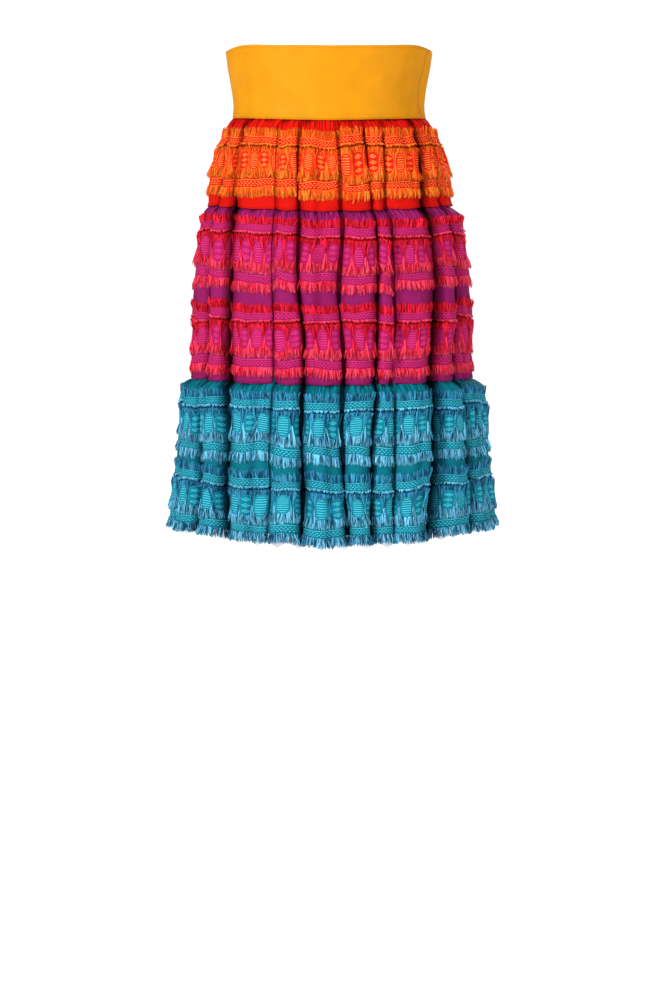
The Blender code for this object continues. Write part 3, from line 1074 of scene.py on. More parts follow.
class ClothGrid:
    """Rows of points round a piece of cloth, in mm. across is the place along the cloth
    of each column, down that of each row, and group_down is the row's place within its
    group of woven bands. from_groove is how far a column lies from the nearest groove,
    and hollow how deep each point lies between its neighbours, from 0 to 1."""

    def __init__(self, rows, across, down, group_down, from_groove=None, hollow=None):
        self.points = np.array(rows)
        self.across = np.array(across)
        self.down = np.array(down)
        self.group_down = np.array(group_down)
        self.from_groove = from_groove
        # hollow sets the painted shade of each point in its groove
        self.hollow = np.zeros(self.points.shape[:2]) if hollow is None else np.array(hollow)

    def face_normals(self):
        """Outward directions of the cloth at each point."""
        along = np.roll(self.points, -1, 1) - np.roll(self.points, 1, 1)
        falling = np.gradient(self.points, axis=0)
        return unit(np.cross(falling, along))

    def ring_at(self, values, places, down):
        """Values at (column place, distance down) pairs, between the grid's own."""
        row = np.interp(down, self.down, np.arange(len(self.down)))
        upper = np.clip(row.astype(int), 0, len(self.down) - 2)
        row_share = (row - upper)[:, None]
        left = places.astype(int) % values.shape[1]
        right = (left + 1) % values.shape[1]
        share = (places - places.astype(int))[:, None]
        values = values.reshape(*values.shape[:2], -1)
        above = mix(values[upper, left], values[upper, right], share)
        below = mix(values[upper + 1, left], values[upper + 1, right], share)
        return mix(above, below, row_share)


def lobe_columns():
    """Lobe number, share of the way across it and rise for each column of cloth."""
    profile = np.array(LOBE_PROFILE)
    groove = profile[:GROOVE_POINTS]
    columns = []
    for i, fold in enumerate(FOLDS):
        after = FOLDS[(i + 1) % len(FOLDS)]
        width = (after.hem_angle - fold.hem_angle) % 360.0
        count = max(4, round(width * COLUMNS_A_DEGREE))
        start = groove[-1, 0] / 2
        for across, rise in groove[:-1]:
            columns.append((i, across / 2, rise))
        for share in np.linspace(start, 1.0 - start, count):
            towards_crest = 1.0 - abs(2.0 * share - 1.0)
            rise = smooth_value(LOBE_PROFILE[GROOVE_POINTS - 1 :], towards_crest)
            columns.append((i, share, rise))
        for across, rise in groove[-2:0:-1]:
            columns.append((i, 1.0 - across / 2, rise))
    lobes, shares, rises = np.array(columns).T
    return lobes.astype(int), shares, rises


def fold_tables(level):
    """Angle and groove depth of every fold at a level, closed by the first fold again."""
    angles = [mix(f.waist_angle, f.hem_angle, level) for f in FOLDS]
    depths = [mix(f.waist_depth, f.hem_depth, level) for f in FOLDS]
    return np.array(angles + [angles[0] + 360.0]), np.array(depths + [depths[0]])


def group_place(tier, down):
    """Distance down within the group of bands that a place in a tier belongs to, in mm."""
    start = max([g for g in tier.groups if g - 4.0 <= down], default=tier.groups[0])
    return down - start


def fold_noises(down, seed):
    """A slow change down each fold or lobe, about -0.5 to 0.5."""
    places = [(3.7 * i + 0.4, down / FOLD_RUN, 13.0 * seed + 0.3) for i in range(len(FOLDS))]
    return np.array([noise.noise(Vector(place)) for place in places])


def groove_share(from_fold):
    """1 in a groove, falling smoothly to 0 a fifth of the way across the lobe."""
    t = np.clip(from_fold / 0.22, 0.0, 1.0)
    return 1.0 - t * t * (3.0 - 2.0 * t)


def tier_base_ring(tier, down, lobes, shares, swell):
    """The cloth round a tier before its small creases, with each column's angle, how far
    it lies from the nearest groove, and the groove's depth."""
    share_down = min(max(down / tier.length, 0.0), 1.0)
    level = mix(tier.top_level, tier.bottom_level, share_down)
    fold_angles, fold_depths = fold_tables(level)
    wander = fold_noises(level * WANDER_DROP, 5.0)
    fold_angles = fold_angles + FOLD_WANDER * np.append(wander, wander[0])
    nearest = np.where(shares < 0.5, lobes, lobes + 1)
    from_fold = 0.5 - np.abs(shares - 0.5)
    widths = np.tile(fold_noises(down, 1.0), 2)
    widened = from_fold * (1.0 + GROOVE_WIDTH_CHANGE * widths[nearest] * groove_share(from_fold))
    places = np.where(shares < 0.5, widened, 1.0 - widened)
    angles = mix(fold_angles[lobes], fold_angles[lobes + 1], places)
    crest_insets = np.array([f.crest_inset for f in FOLDS])[lobes] * level
    towards_crest = 1.0 - np.abs(2.0 * shares - 1.0)
    fold_share = min(max(down, 0.0) / 20.0, 1.0) if tier.top_level == 0.0 else 1.0
    groove_depths = fold_depths[nearest] * GROOVE_DEEPER
    insets = mix(groove_depths, crest_insets, swell) * fold_share
    insets += TUCKED_IN * math.exp(-max(down, 0.0) / 3.0) + TUCK_SLOPE * max(-down, 0.0)
    insets -= PROUD_EDGE * math.exp((down - tier.length) / 2.0)
    heights = mix(edge_heights(tier.top, angles), edge_heights(tier.bottom, angles), share_down)
    if tier is TEAL:
        sags = np.array([f.hem_sag for f in FOLDS])[lobes]
        heights = heights - sags * towards_crest * share_down**2
    seam_sag = SEAM_SAG * np.minimum(level / 0.1, 1.0) * np.sqrt(towards_crest)
    if tier is not TEAL:
        heights = heights - seam_sag * share_down**3
    heights = heights - seam_sag * (1.0 - share_down) ** 3
    if down < 0.0:
        heights = heights - down
    section = outline_at(tier.sections, share_down)
    ring = outline_points(section, angles, insets, heights)
    return ring, angles, towards_crest, groove_depths


def groove_shade_share(depths, shades, swell, soft):
    """How deep each point of a ring lies between its neighbours, from 0 to 1, as the share
    of painted shade it gets, with the depth and shade of its groove."""
    shaded_rise = SHADED_RISE + SHADED_RISE_MORE * shades
    in_groove = np.clip((shaded_rise - swell) / SHADED_RISE, 0.0, 1.0)
    shaded_depth = depths * shades - SHADED_FROM_DEPTH
    in_groove *= np.clip(shaded_depth / SHADED_OVER_DEPTH, 0.2, 1.0)
    return np.clip(in_groove + soft * SOFT_CREASE_SHADE, 0.0, 1.0)


def small_creases(turns, radius, down, seed):
    """How deep the gathers' small creases are round a ring, from 0 to 1."""
    away = np.abs(ring_noise(turns, radius / CREASE_CELL, down / CREASE_RUN, seed))
    return (1.0 - np.minimum(away * CREASE_NARROW, 1.0)) ** 1.5


def loose_forms(turns, radius, down, seed):
    """How far out loose cloth puckers and drapes round a ring, in mm."""
    puckers = ring_noise(turns, radius / PUCKER_CELL, down / PUCKER_RUN, seed + 3.0)
    drape = ring_noise(turns, radius / DRAPE_CELL, down / DRAPE_RUN, seed + 9.0)
    return puckers * PUCKER_DEPTH + drape * DRAPE_DEPTH


def lobe_lifts(turns, radius, lobes, shares, down, seed):
    """How far up each lobe and its ripples take the bands round a ring, in mm."""
    raised = fold_noises(down, seed + 1.0) * LOBE_LIFT
    tilted = fold_noises(down, seed + 2.0) * LOBE_TILT
    ripple = ring_noise(turns, radius / RIPPLE_CELL, down / RIPPLE_RUN, seed + 12.0)
    return raised[lobes] + tilted[lobes] * (shares - 0.5) + ripple * RIPPLE


def soft_creases(angles, level):
    """How far in the soft creases take the cloth at these angles of one level, in mm."""
    inward = np.zeros(len(angles))
    for crease in SOFT_CREASES:
        ends = min((level - crease.top) / 0.08, (crease.bottom - level) / 0.08, 1.0)
        away = (angles - crease.angle + 180.0) % 360.0 - 180.0
        hollow = np.exp(-((away / CREASE_HALF_WIDTH) ** 2))
        inward += hollow * crease.depth * max(ends, 0.0)
    return inward


def row_places(tier):
    """Distances down a tier of its rows of cloth points, close at the edges of bands."""
    stops = {-TUCKED_ABOVE, 0.0, HEADER_DEPTH, tier.length}
    for start in tier.groups:
        stops |= {start + place for place, _ in GROUP_RISE if start + place < tier.length}
    ordered = sorted(stops)
    places = []
    for above, below in zip(ordered, ordered[1:]):
        step = HEADER_STEP if below <= HEADER_DEPTH else ROW_STEP
        count = max(1, math.ceil((below - above) / step))
        places += [mix(above, below, i / count) for i in range(count)]
    return places + [tier.length]


def tier_grid(tier):
    """A tier's cloth with its folds, raised bands and gathers."""
    seed = 10.0 * TIERS.index(tier) + sizes().seed
    lobes, shares, swell = lobe_columns()
    arc = lengths_round(tier_base_ring(tier, tier.length / 2, lobes, shares, swell)[0])
    turns = arc[:-1] / arc[-1]
    pitch = sizes().motif_pitch[TIERS.index(tier)] / MM
    motifs = 2 * round(arc[-1] / pitch / 2)
    across = arc / arc[-1] * motifs * pitch
    radius = arc[-1] / math.tau
    depth = sizes().gather_depth / MM
    rises = np.array(GROUP_RISE)
    nearest = np.where(shares < 0.5, lobes, (lobes + 1) % len(FOLDS))
    groove_shades = np.array(GROOVE_SHADE)[nearest]
    rows = []
    hollows = []
    places = row_places(tier)
    for down in places:
        ring, angles, towards_crest, groove_depths = tier_base_ring(
            tier, down, lobes, shares, swell
        )
        share_down = min(max(down / tier.length, 0.0), 1.0)
        level = mix(tier.top_level, tier.bottom_level, share_down)
        gathered = math.exp(-max(down, 0.0) / GATHERS_FADE)
        free_edge = math.sin(math.pi * share_down) ** 0.5
        below_seam = min(max(down, 0.0) / LOOSE_BELOW_SEAM, 1.0)
        above_edge = min(max((tier.length - down) / LOOSE_ABOVE_EDGE, LOOSE_LEFT), 1.0)
        out = np.interp(group_place(tier, down), rises[:, 0], rises[:, 1])
        open_cloth = np.clip((towards_crest - OPEN_FROM) / (OPEN_TO - OPEN_FROM), 0.0, 1.0)
        moved = out * open_cloth
        creases = small_creases(turns, radius, down, seed)
        moved -= creases * depth * (gathered + GATHERS_LEFT) * open_cloth
        loose = loose_forms(turns, radius, down, seed)
        moved += loose * open_cloth * below_seam * above_edge
        soft = soft_creases(angles, level)
        moved -= soft * open_cloth
        # The share of painted shade that each point gets in its groove
        hollows.append(groove_shade_share(groove_depths, groove_shades, swell, soft))
        ring = ring + plan_normals(ring) * moved[:, None]
        lift = ring_noise(turns, radius / RING_LIFT_CELL, 0.0, seed + 6.0)
        lobe_lift = lobe_lifts(turns, radius, lobes, shares, down, seed)
        ring[:, 2] += (lift * RING_LIFT + lobe_lift * np.sqrt(open_cloth)) * free_edge
        rows.append(ring)
    group_places = [group_place(tier, down) for down in places]
    return ClothGrid(rows, across, places, group_places, towards_crest, hollows)


def band_top_heights(angles):
    from_middle = np.degrees(np.arcsin(np.abs(np.sin(np.radians(angles)))))
    return np.array([smooth_value(BAND_TOP, angle) for angle in from_middle])


def band_grid():
    """The waistband's cloth, drawn in at its side seams, with a slanting crease towards
    the wearer's left."""
    angles = np.arange(BAND_COLUMNS) * 360.0 / BAND_COLUMNS
    turns = angles / 360.0
    rows = []
    places = [BAND_LENGTH * i / BAND_ROWS for i in range(BAND_ROWS + 1)]
    for down in places:
        share = down / BAND_LENGTH
        heights = mix(band_top_heights(angles), edge_heights(BAND_BOTTOM, angles), share)
        section = outline_at(BAND_SECTIONS, share)
        ring = outline_points(section, angles, np.zeros(BAND_COLUMNS), heights)
        swell = ring_noise(turns, 1.6, share * 1.6, 4.0 + sizes().seed)
        slack = math.sin(math.pi * share) ** 0.7
        start = BAND_CREASE_START - BAND_CREASE_SLANT * share
        sloping = np.clip((angles - start) / (BAND_FRONT_SEAM - start), 0.0, 1.0)
        past_seam = (angles - BAND_FRONT_SEAM) / BAND_CREASE_PAST_SEAM
        rising = np.clip(1.0 - past_seam, 0.0, 1.0)
        crease = sloping**0.7 * rising * (BAND_CREASE_DEPTH + BAND_CREASE_DEEPER * share)
        from_fold = (angles - BAND_FOLD_ANGLE + BAND_FOLD_SLANT * share) / BAND_FOLD_HALF_WIDTH
        fold = BAND_FOLD_DEPTH * np.exp(-(from_fold**2))
        moved = (swell * BAND_SWELL - crease - fold) * slack
        for seam in (BAND_FRONT_SEAM, BAND_BACK_SEAM):
            from_seam = (angles - seam) / BAND_SEAM_HALF_WIDTH
            moved -= BAND_SEAM_DEPTH * np.exp(-(from_seam**2))
        rows.append(ring + plan_normals(ring) * moved[:, None])
    return ClothGrid(rows, lengths_round(rows[len(rows) // 2]), places, places)


def lining_grid():
    """The lining's lower end, cut into points along its edge."""
    per_point = 6
    count = LINING_POINTS * per_point
    angles = -90.0 + 360.0 * np.arange(count) / count
    section = outline_at(TEAL.sections, 1.0)
    in_point = np.abs((np.arange(count) / per_point) % 1.0 - 0.5) * 2.0
    top = edge_heights(LINING_TOP, angles)
    bottom = edge_heights(LINING_VALLEY, angles) - LINING_POINT_LENGTH * (1.0 - in_point)
    rows = []
    shares = [i / 8 for i in range(9)]
    for share in shares:
        heights = mix(top, bottom, share)
        waves = ring_noise(angles / 360.0, 6.0, share, 2.0)
        rows.append(outline_points(section, angles, LINING_INSET + waves * 0.8, heights))
    places = [LINING_LENGTH * share for share in shares]
    return ClothGrid(rows, lengths_round(rows[0]), places, places)


def linked(name, data):
    """A new object in the scene, with its data."""
    made = bpy.data.objects.new(name, data)
    bpy.context.scene.collection.objects.link(made)
    return made


def cloth_object(name, grid, material, thickness):
    """A closed tube of cloth with its cloth and band positions as UV maps, in metres."""
    rows, columns = grid.points.shape[:2]
    mesh = bpy.data.meshes.new(name)
    faces = []
    for r in range(rows - 1):
        for c in range(columns):
            after = (c + 1) % columns
            upper = r * columns
            lower = (r + 1) * columns
            faces.append((upper + c, lower + c, lower + after, upper + after))
    mesh.from_pydata((grid.points.reshape(-1, 3) * MM).tolist(), [], faces)
    r, c = np.divmod(np.arange(len(faces)), columns)
    left, right = grid.across[c], grid.across[c + 1]
    corner_across = np.stack([left, left, right, right], 1)
    for layer, values in (("cloth", grid.down), ("bands", grid.group_down)):
        above = values[r]
        below = above + grid.down[r + 1] - grid.down[r]
        corner_down = np.stack([above, below, below, above], 1)
        places = np.stack([corner_across, corner_down], 2) * MM
        uv = mesh.uv_layers.new(name=layer)
        uv.data.foreach_set("uv", places.ravel())
    # How deep each point lies in its groove, which the materials turn into painted shade
    hollow = mesh.attributes.new("hollow", "FLOAT", "POINT")
    hollow.data.foreach_set("value", grid.hollow.ravel())
    mesh.shade_smooth()
    mesh.materials.append(material)
    piece = linked(name, mesh)
    wall = piece.modifiers.new("Wall", "SOLIDIFY")
    wall.thickness = thickness
    wall.offset = -1.0
    bake_modifiers(piece)
    return piece


def bake_modifiers(piece):
    """Turns a piece and its modifiers into a plain mesh."""
    bpy.context.view_layer.update()
    graph = bpy.context.evaluated_depsgraph_get()
    shaped = bpy.data.meshes.new_from_object(
        piece.evaluated_get(graph), preserve_all_data_layers=True, depsgraph=graph
    )
    piece.modifiers.clear()
    raw = piece.data
    piece.data = shaped
    bpy.data.meshes.remove(raw)


# Threads laid along the cloth by Geometry Nodes


def set_input(modifier, label, value):
    for item in modifier.node_group.interface.items_tree:
        if item.item_type == "SOCKET" and item.in_out == "INPUT" and item.name == label:
            modifier[item.identifier] = value


def named_attribute(build, name, data_type="FLOAT_VECTOR"):
    made = build.node("GeometryNodeInputNamedAttribute", data_type=data_type)
    made.inputs["Name"].default_value = name
    return made.outputs["Attribute"]


def store_number(build, geometry, name, value, domain):
    inputs = {"Geometry": geometry, "Name": name, "Value": value}
    kind = "GeometryNodeStoreNamedAttribute"
    return build.result(kind, inputs, data_type="FLOAT", domain=domain)


def places_along(build, given, spacing):
    """Points along the guide line at an even spacing."""
    line = build.result("GeometryNodeMeshToCurve", {"Mesh": given["Guide"]})
    inputs = {"Curve": line, "Length": given[spacing]}
    return build.result("GeometryNodeResampleCurve", inputs, mode="LENGTH")


def turned_axes(build, primary, primary_axis, secondary, secondary_axis):
    """The rotation that points two axes of an instance in two directions."""
    inputs = {"Primary Axis": primary, "Secondary Axis": secondary}
    axes = {"primary_axis": primary_axis, "secondary_axis": secondary_axis}
    return build.result("FunctionNodeAxesToRotation", inputs, **axes)


def real_threads(build, given, instances, smooth):
    """Instances made into one mesh with its material."""
    made = build.result("GeometryNodeRealizeInstances", {"Geometry": instances})
    if smooth:
        made = build.result("GeometryNodeSetShadeSmooth", {"Geometry": made})
    inputs = {"Geometry": made, "Material": given["Material"]}
    return build.result("GeometryNodeSetMaterial", inputs)


def make_fringe_tree():
    """Threads on a guide line, along its hang directions, clinging together in tufts."""
    build, given, out = new_group(
        "Fringe",
        "GeometryNodeTree",
        (
            ("Guide", GEOMETRY, None),
            ("Spacing", FLOAT, 0.6 * MM),
            ("Width", FLOAT, 0.7 * MM),
            ("Bend", FLOAT, 1.4 * MM),
            ("Stand", FLOAT, 0.3),
            ("Lightness", FLOAT, 0.0),
            ("Threads a tuft", INTEGER, 7),
            ("Seed", INTEGER, 0),
            ("Material", MATERIAL, None),
        ),
        (("Threads", GEOMETRY),),
    )

    index = build.result("GeometryNodeInputIndex")
    in_tufts = build.over(index, given["Threads a tuft"])
    tuft = build.math("FLOOR", in_tufts)

    def chance(low, high, offset, of=None):
        made = build.node("FunctionNodeRandomValue", data_type="FLOAT")
        build.feed(made.inputs[2], low)
        build.feed(made.inputs[3], high)
        build.feed(made.inputs["Seed"], build.plus(given["Seed"], offset))
        if of is not None:
            build.feed(made.inputs["ID"], of)
        return made.outputs[1]

    roots = places_along(build, given, "Spacing")
    hang = named_attribute(build, "hang")
    outward = named_attribute(build, "outward")
    side = build.vector("CROSS_PRODUCT", hang, outward)
    tangent = build.result("GeometryNodeInputTangent")
    sway = build.clouds(build.result("GeometryNodeInputPosition"), SWAYS_A_METRE)
    reach = named_attribute(build, "reach", "FLOAT")
    from_middle = build.minus(build.minus(in_tufts, tuft), 0.45)
    offset = build.times(from_middle, given["Threads a tuft"])
    offset = build.times(offset, given["Spacing"])
    offset = build.times(offset, build.vector("DOT_PRODUCT", tangent, side))
    cling = build.over(build.times(offset, CLING), reach)
    stray = build.math("GREATER_THAN", chance(0.0, 1.0, 11.0), 1.0 - STRAY_SHARE)
    lean = build.times(build.minus(sway, 0.5), SWAY)
    lean = build.plus(lean, cling)
    lean = build.plus(lean, chance(-TUFT_LEAN, TUFT_LEAN, 12.0, tuft))
    lean = build.plus(lean, chance(-THREAD_LEAN, THREAD_LEAN, 1.0))
    lean = build.plus(lean, build.times(stray, chance(-STRAY_LEAN, STRAY_LEAN, 2.0)))
    stand = build.plus(given["Stand"], chance(*TUFT_STAND, 13.0, tuft))
    stand = build.plus(stand, chance(*THREAD_STAND, 3.0))
    aside = build.vector("ADD", build.scaled(side, lean), build.scaled(outward, stand))
    heading = build.vector("ADD", hang, aside)
    turned = turned_axes(build, heading, "Z", outward, "X")
    angle = chance(-THREAD_TURN, THREAD_TURN, 4.0)
    inputs = {"Axis": (0.0, 0.0, 1.0), "Angle": angle}
    spin = build.result("FunctionNodeAxisAngleToRotation", inputs)
    inputs = {"Rotation": turned, "Rotate By": spin}
    rotation = build.result("FunctionNodeRotateRotation", inputs, rotation_space="LOCAL")
    length = build.times(reach, chance(*TUFT_LENGTH, 14.0, tuft))
    length = build.times(length, chance(*THREAD_LENGTH, 5.0))
    width = build.times(given["Width"], chance(*THREAD_WIDTH, 9.0))
    scale = build.joined({"X": width, "Y": width, "Z": length})
    stray_down = build.scaled(hang, chance(-ROOT_STRAY * MM, ROOT_STRAY * MM, 6.0))
    stray_out = build.scaled(outward, chance(0.0, ROOT_STRAY * MM, 7.0))
    inputs = {"Geometry": roots, "Offset": build.vector("ADD", stray_down, stray_out)}
    roots = build.result("GeometryNodeSetPosition", inputs)

    # Three threads, a unit long up Z: one bent, one straight and blunt, one a fine point
    place = build.result("GeometryNodeInputPosition")
    split = build.split(place)

    def thread(segments, tip_radius, offset):
        inputs = {"Vertices": 3, "Side Segments": segments, "Depth": 1.0}
        made = build.node("GeometryNodeMeshCone", inputs, fill_type="NGON")
        build.feed(made.inputs["Radius Top"], tip_radius)
        build.feed(made.inputs["Radius Bottom"], 1.0)
        made = store_number(build, made.outputs[0], "along", split["Z"], "POINT")
        return build.result("GeometryNodeSetPosition", {"Geometry": made, "Offset": offset})

    halfway = build.times(build.times(split["Z"], build.minus(1.0, split["Z"])), 4.0)
    fuller = build.vector("MULTIPLY", place, (THREAD_BELLY, THREAD_BELLY, 0.0))
    bent = build.over(given["Bend"], build.times(given["Width"], 0.5))
    bowed = build.joined({"X": bent, "Z": BEND_DROP})
    bend = build.scaled(build.vector("ADD", fuller, bowed), halfway)
    kinds = build.node("GeometryNodeGeometryToInstance")
    build.feed(kinds.inputs[0], thread(2, 0.0, bend))
    build.feed(kinds.inputs[0], thread(1, BLUNT_TIP, (0.0, 0.0, 0.0)))
    build.feed(kinds.inputs[0], thread(1, 0.0, (0.0, 0.0, 0.0)))
    kind = build.node("FunctionNodeRandomValue", data_type="INT")
    build.feed(kind.inputs["Seed"], build.plus(given["Seed"], 21.0))
    kind.inputs[4].default_value = 0
    kind.inputs[5].default_value = 3

    inputs = {
        "Points": roots,
        "Instance": kinds.outputs[0],
        "Pick Instance": True,
        "Instance Index": kind.outputs[2],
        "Rotation": rotation,
        "Scale": scale,
    }
    placed = build.result("GeometryNodeInstanceOnPoints", inputs)
    clump = build.plus(chance(*TUFT_TONE, 15.0, tuft), given["Lightness"])
    tone = build.plus(clump, chance(-TONE_SPREAD, TONE_SPREAD, 8.0))
    placed = store_number(build, placed, "tone", tone, "INSTANCE")
    # The painted groove shade of the cloth where each thread grows, for its material
    hollow = named_attribute(build, "hollow", "FLOAT")
    placed = store_number(build, placed, "hollow", hollow, "INSTANCE")
    build.feed(out["Threads"], real_threads(build, given, placed, True))


def make_stitch_tree():
    """Short rounded stitches along a guide line."""
    build, given, out = new_group(
        "Stitches",
        "GeometryNodeTree",
        (("Guide", GEOMETRY, None), ("Pitch", FLOAT, 2.8 * MM), ("Material", MATERIAL, None)),
        (("Stitches", GEOMETRY),),
    )
    places = places_along(build, given, "Pitch")
    tangent = build.result("GeometryNodeInputTangent")
    rotation = turned_axes(build, tangent, "X", named_attribute(build, "outward"), "Z")
    inputs = {"Segments": 6, "Rings": 3, "Radius": 1.0}
    stitch = build.result("GeometryNodeMeshUVSphere", inputs)
    half_length = build.times(given["Pitch"], STITCH_SHARE)
    half_sizes = {"X": half_length, "Y": STITCH_HALF_WIDTH * MM, "Z": STITCH_HALF_HEIGHT * MM}
    scale = build.joined(half_sizes)
    inputs = {"Points": places, "Instance": stitch, "Rotation": rotation, "Scale": scale}
    placed = build.result("GeometryNodeInstanceOnPoints", inputs)
    build.feed(out["Stitches"], real_threads(build, given, placed, False))


def guide_object(name, places, directions, kept, numbers=None):
    """A line of points that carries directions and numbers, places in mm. It is broken
    where its points aren't kept, and closed where its two ends are."""
    count = len(places)
    edges = [(i, (i + 1) % count) for i in range(count) if kept[i] and kept[(i + 1) % count]]
    mesh = bpy.data.meshes.new(name)
    mesh.from_pydata((np.array(places) * MM).tolist(), edges, [])
    for label, values in directions.items():
        layer = mesh.attributes.new(label, "FLOAT_VECTOR", "POINT")
        layer.data.foreach_set("vector", np.array(values, dtype=float).ravel())
    for label, values in (numbers or {}).items():
        layer = mesh.attributes.new(label, "FLOAT", "POINT")
        layer.data.foreach_set("value", values.ravel())
    return linked(name, mesh)


def grow(guide, tree, inputs):
    """Runs a tree on a guide and keeps what it makes as a plain mesh."""
    modifier = guide.modifiers.new("Threads", "NODES")
    modifier.node_group = bpy.data.node_groups[tree]
    for label, value in inputs.items():
        set_input(modifier, label, value)
    bake_modifiers(guide)
    return guide


def motif_edge(across, pitch):
    """Half the height of the motifs' outline at places along the cloth, in mm."""
    from_middle = np.abs((across / pitch) % 1.0 - 0.5)
    wide = np.minimum(from_middle * 2.0 / MOTIF_WIDTH_SHARE, 1.0)
    return MOTIF_HALF_HEIGHT * (1.0 - wide**MOTIF_POWER) ** (1.0 / MOTIF_POWER)


def fringe_guide(name, grid, start, row, pitch, at_hem):
    """The line of a fringe's roots on the cloth, with the way its threads point."""
    normals = grid.face_normals()
    columns = grid.points.shape[1]
    count = int(grid.across[-1] / FRINGE_GUIDE_STEP)
    across = np.arange(count) / count * grid.across[-1]
    places = np.interp(across, grid.across, np.arange(columns + 1))
    points_up = row.tip < row.root
    down = np.full(count, start + row.root)
    if row.follows_motifs:
        edge = motif_edge(across, pitch)
        down = down - edge if points_up else down + edge
    down = np.minimum(down, grid.down[-1] - 0.4)
    reach = np.abs(start + row.tip - down)
    from_groove = np.interp(places, np.arange(columns), grid.from_groove)
    kept = from_groove > (HEM_BARE_GROOVE if at_hem else BARE_GROOVE)
    way = np.maximum(0.7 * reach, 4.0) * (-1.0 if points_up else 1.0)
    roots = grid.ring_at(grid.points, places, down)
    ahead = grid.ring_at(grid.points, places, np.minimum(down + way, grid.down[-1]))
    hang = ahead - roots
    short = np.linalg.norm(hang, axis=1) < 0.5
    hang[short] = (0.0, 0.0, -1.0)
    from_axis = unit(roots * (1.0, 1.0, 0.0))
    at_edge = np.clip((0.45 - from_groove) / 0.3, 0.0, 1.0)[:, None]
    outward = unit(unit(grid.ring_at(normals, places, down)) + from_axis * at_edge * 2.0)
    # hollow carries the cloth's painted groove shade to the threads
    numbers = {"reach": reach * MM, "hollow": grid.ring_at(grid.hollow, places, down)}
    directions = {"hang": unit(hang), "outward": outward}
    return guide_object(name, roots + outward * ROOT_OUT, directions, kept, numbers)


# Operators


class SKIRT_OT_waistband(bpy.types.Operator):
    """Build the high waistband and its topstitching"""

    bl_idname = "skirt.waistband"
    bl_label = "Waistband"

    def execute(self, context):
        grid = band_grid()
        seams = [
            float(np.interp(angle, np.arange(BAND_COLUMNS + 1), grid.across)) * MM
            for angle in (BAND_FRONT_SEAM, BAND_BACK_SEAM)
        ]
        marigold = colours().marigold
        cloth = plain_cloth("Marigold cloth", marigold, roughness=0.6, slub=0.12, seams=seams)
        band = cloth_object("waistband", grid, cloth, sizes().waistband_thickness)
        thread = stitch_thread("Marigold thread", colours().marigold_thread)
        columns = grid.points.shape[1]
        every = np.arange(columns, dtype=float)
        rows = []
        for down in STITCHED_ROUND:
            places = np.full(columns, down)
            row = self.stitches(grid, len(rows) + 1, every, places, every >= 0.0, thread)
            rows.append(row)
        downs = np.linspace(*STITCHED_DOWN_ENDS, STITCHED_DOWN_POINTS)
        for angle in STITCHED_DOWN:
            places = np.full(STITCHED_DOWN_POINTS, angle / 360.0 * columns)
            row = self.stitches(grid, len(rows) + 1, places, downs, downs < downs[-1], thread)
            rows.append(row)
        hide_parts("waistband_front", "waistband_back")
        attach(band, ROOT)
        return {"FINISHED"}

    def stitches(self, grid, number, columns, downs, kept, thread):
        """A row of stitches through places on the band, by column and mm down."""
        outward = grid.ring_at(grid.face_normals(), columns, downs)
        roots = grid.ring_at(grid.points, columns, downs) + outward * STITCH_OUT
        row = guide_object(f"waistband_stitches_{number}", roots, {"outward": outward}, kept)
        grow(row, "Stitches", {"Pitch": sizes().stitch_pitch, "Material": thread})
        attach(row, ROOT)
        return row


class SKIRT_OT_tiers(bpy.types.Operator):
    """Build the three gathered tiers and their rows of fringe"""

    bl_idname = "skirt.tiers"
    bl_label = "Tiers"

    def execute(self, context):
        for tier in TIERS:
            self.build_tier(tier)
        return {"FINISHED"}

    def build_tier(self, tier):
        name = tier.name.split("_")[0]
        given = {part: getattr(colours(), name + part) for part in TIER_COLOURS}
        grid = tier_grid(tier)
        pitch = sizes().motif_pitch[TIERS.index(tier)] / MM
        cloth = banded_cloth(f"{name.title()} cloth", given, pitch)
        piece = cloth_object(tier.name, grid, cloth, sizes().cloth_thickness)
        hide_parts(f"{tier.name}_front", f"{tier.name}_back")
        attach(piece, ROOT)
        materials = [
            fringe_thread(f"{name.title()} {way} thread", given[dark], given[light])
            for way, dark, light in (
                ("hanging", "_lower_dark", "_lower_light"),
                ("standing", "_upper_dark", "_upper_light"),
            )
        ]
        for number, start in enumerate(tier.groups, 1):
            for row in FRINGE_ROWS:
                at_hem = start + row.root > tier.length - 1.0
                label = f"{tier.name}_{row.name}_{number}"
                guide = fringe_guide(label, grid, start, row, pitch, at_hem)
                self.add_fringe(tier, guide, number, row, at_hem, materials)

    def add_fringe(self, tier, guide, number, row, at_hem, materials):
        density = row.density * (HEM_DENSER if at_hem else 1.0)
        points_up = row.tip < row.root
        inputs = {
            "Spacing": 1.0 / (sizes().strands_a_metre * density),
            "Width": sizes().strand_width,
            "Stand": row.stand,
            "Threads a tuft": HEM_TUFT if at_hem else sizes().tuft_threads,
            "Lightness": row.lightness - (HEM_DARKER if at_hem else 0.0),
            "Seed": sizes().seed + 17 * number,
            "Material": materials[points_up],
        }
        grow(guide, "Fringe", inputs)
        if row.name == "hanging_fringe":
            solid = f"{tier.name}_fringe_{number}"
            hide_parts(f"{solid}_front", f"{solid}_back")
        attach(guide, ROOT)
        return guide


class SKIRT_OT_lining(bpy.types.Operator):
    """Build the pointed edge of the lining that shows under the hem"""

    bl_idname = "skirt.lining"
    bl_label = "Lining"

    def execute(self, context):
        grid = lining_grid()
        cloth = plain_cloth("White lining", colours().lining, roughness=0.55, slub=0.1)
        piece = cloth_object("lining_edge", grid, cloth, LINING_THICKNESS * MM)
        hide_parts("lining_edge_front", "lining_edge_back")
        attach(piece, ROOT)
        return {"FINISHED"}


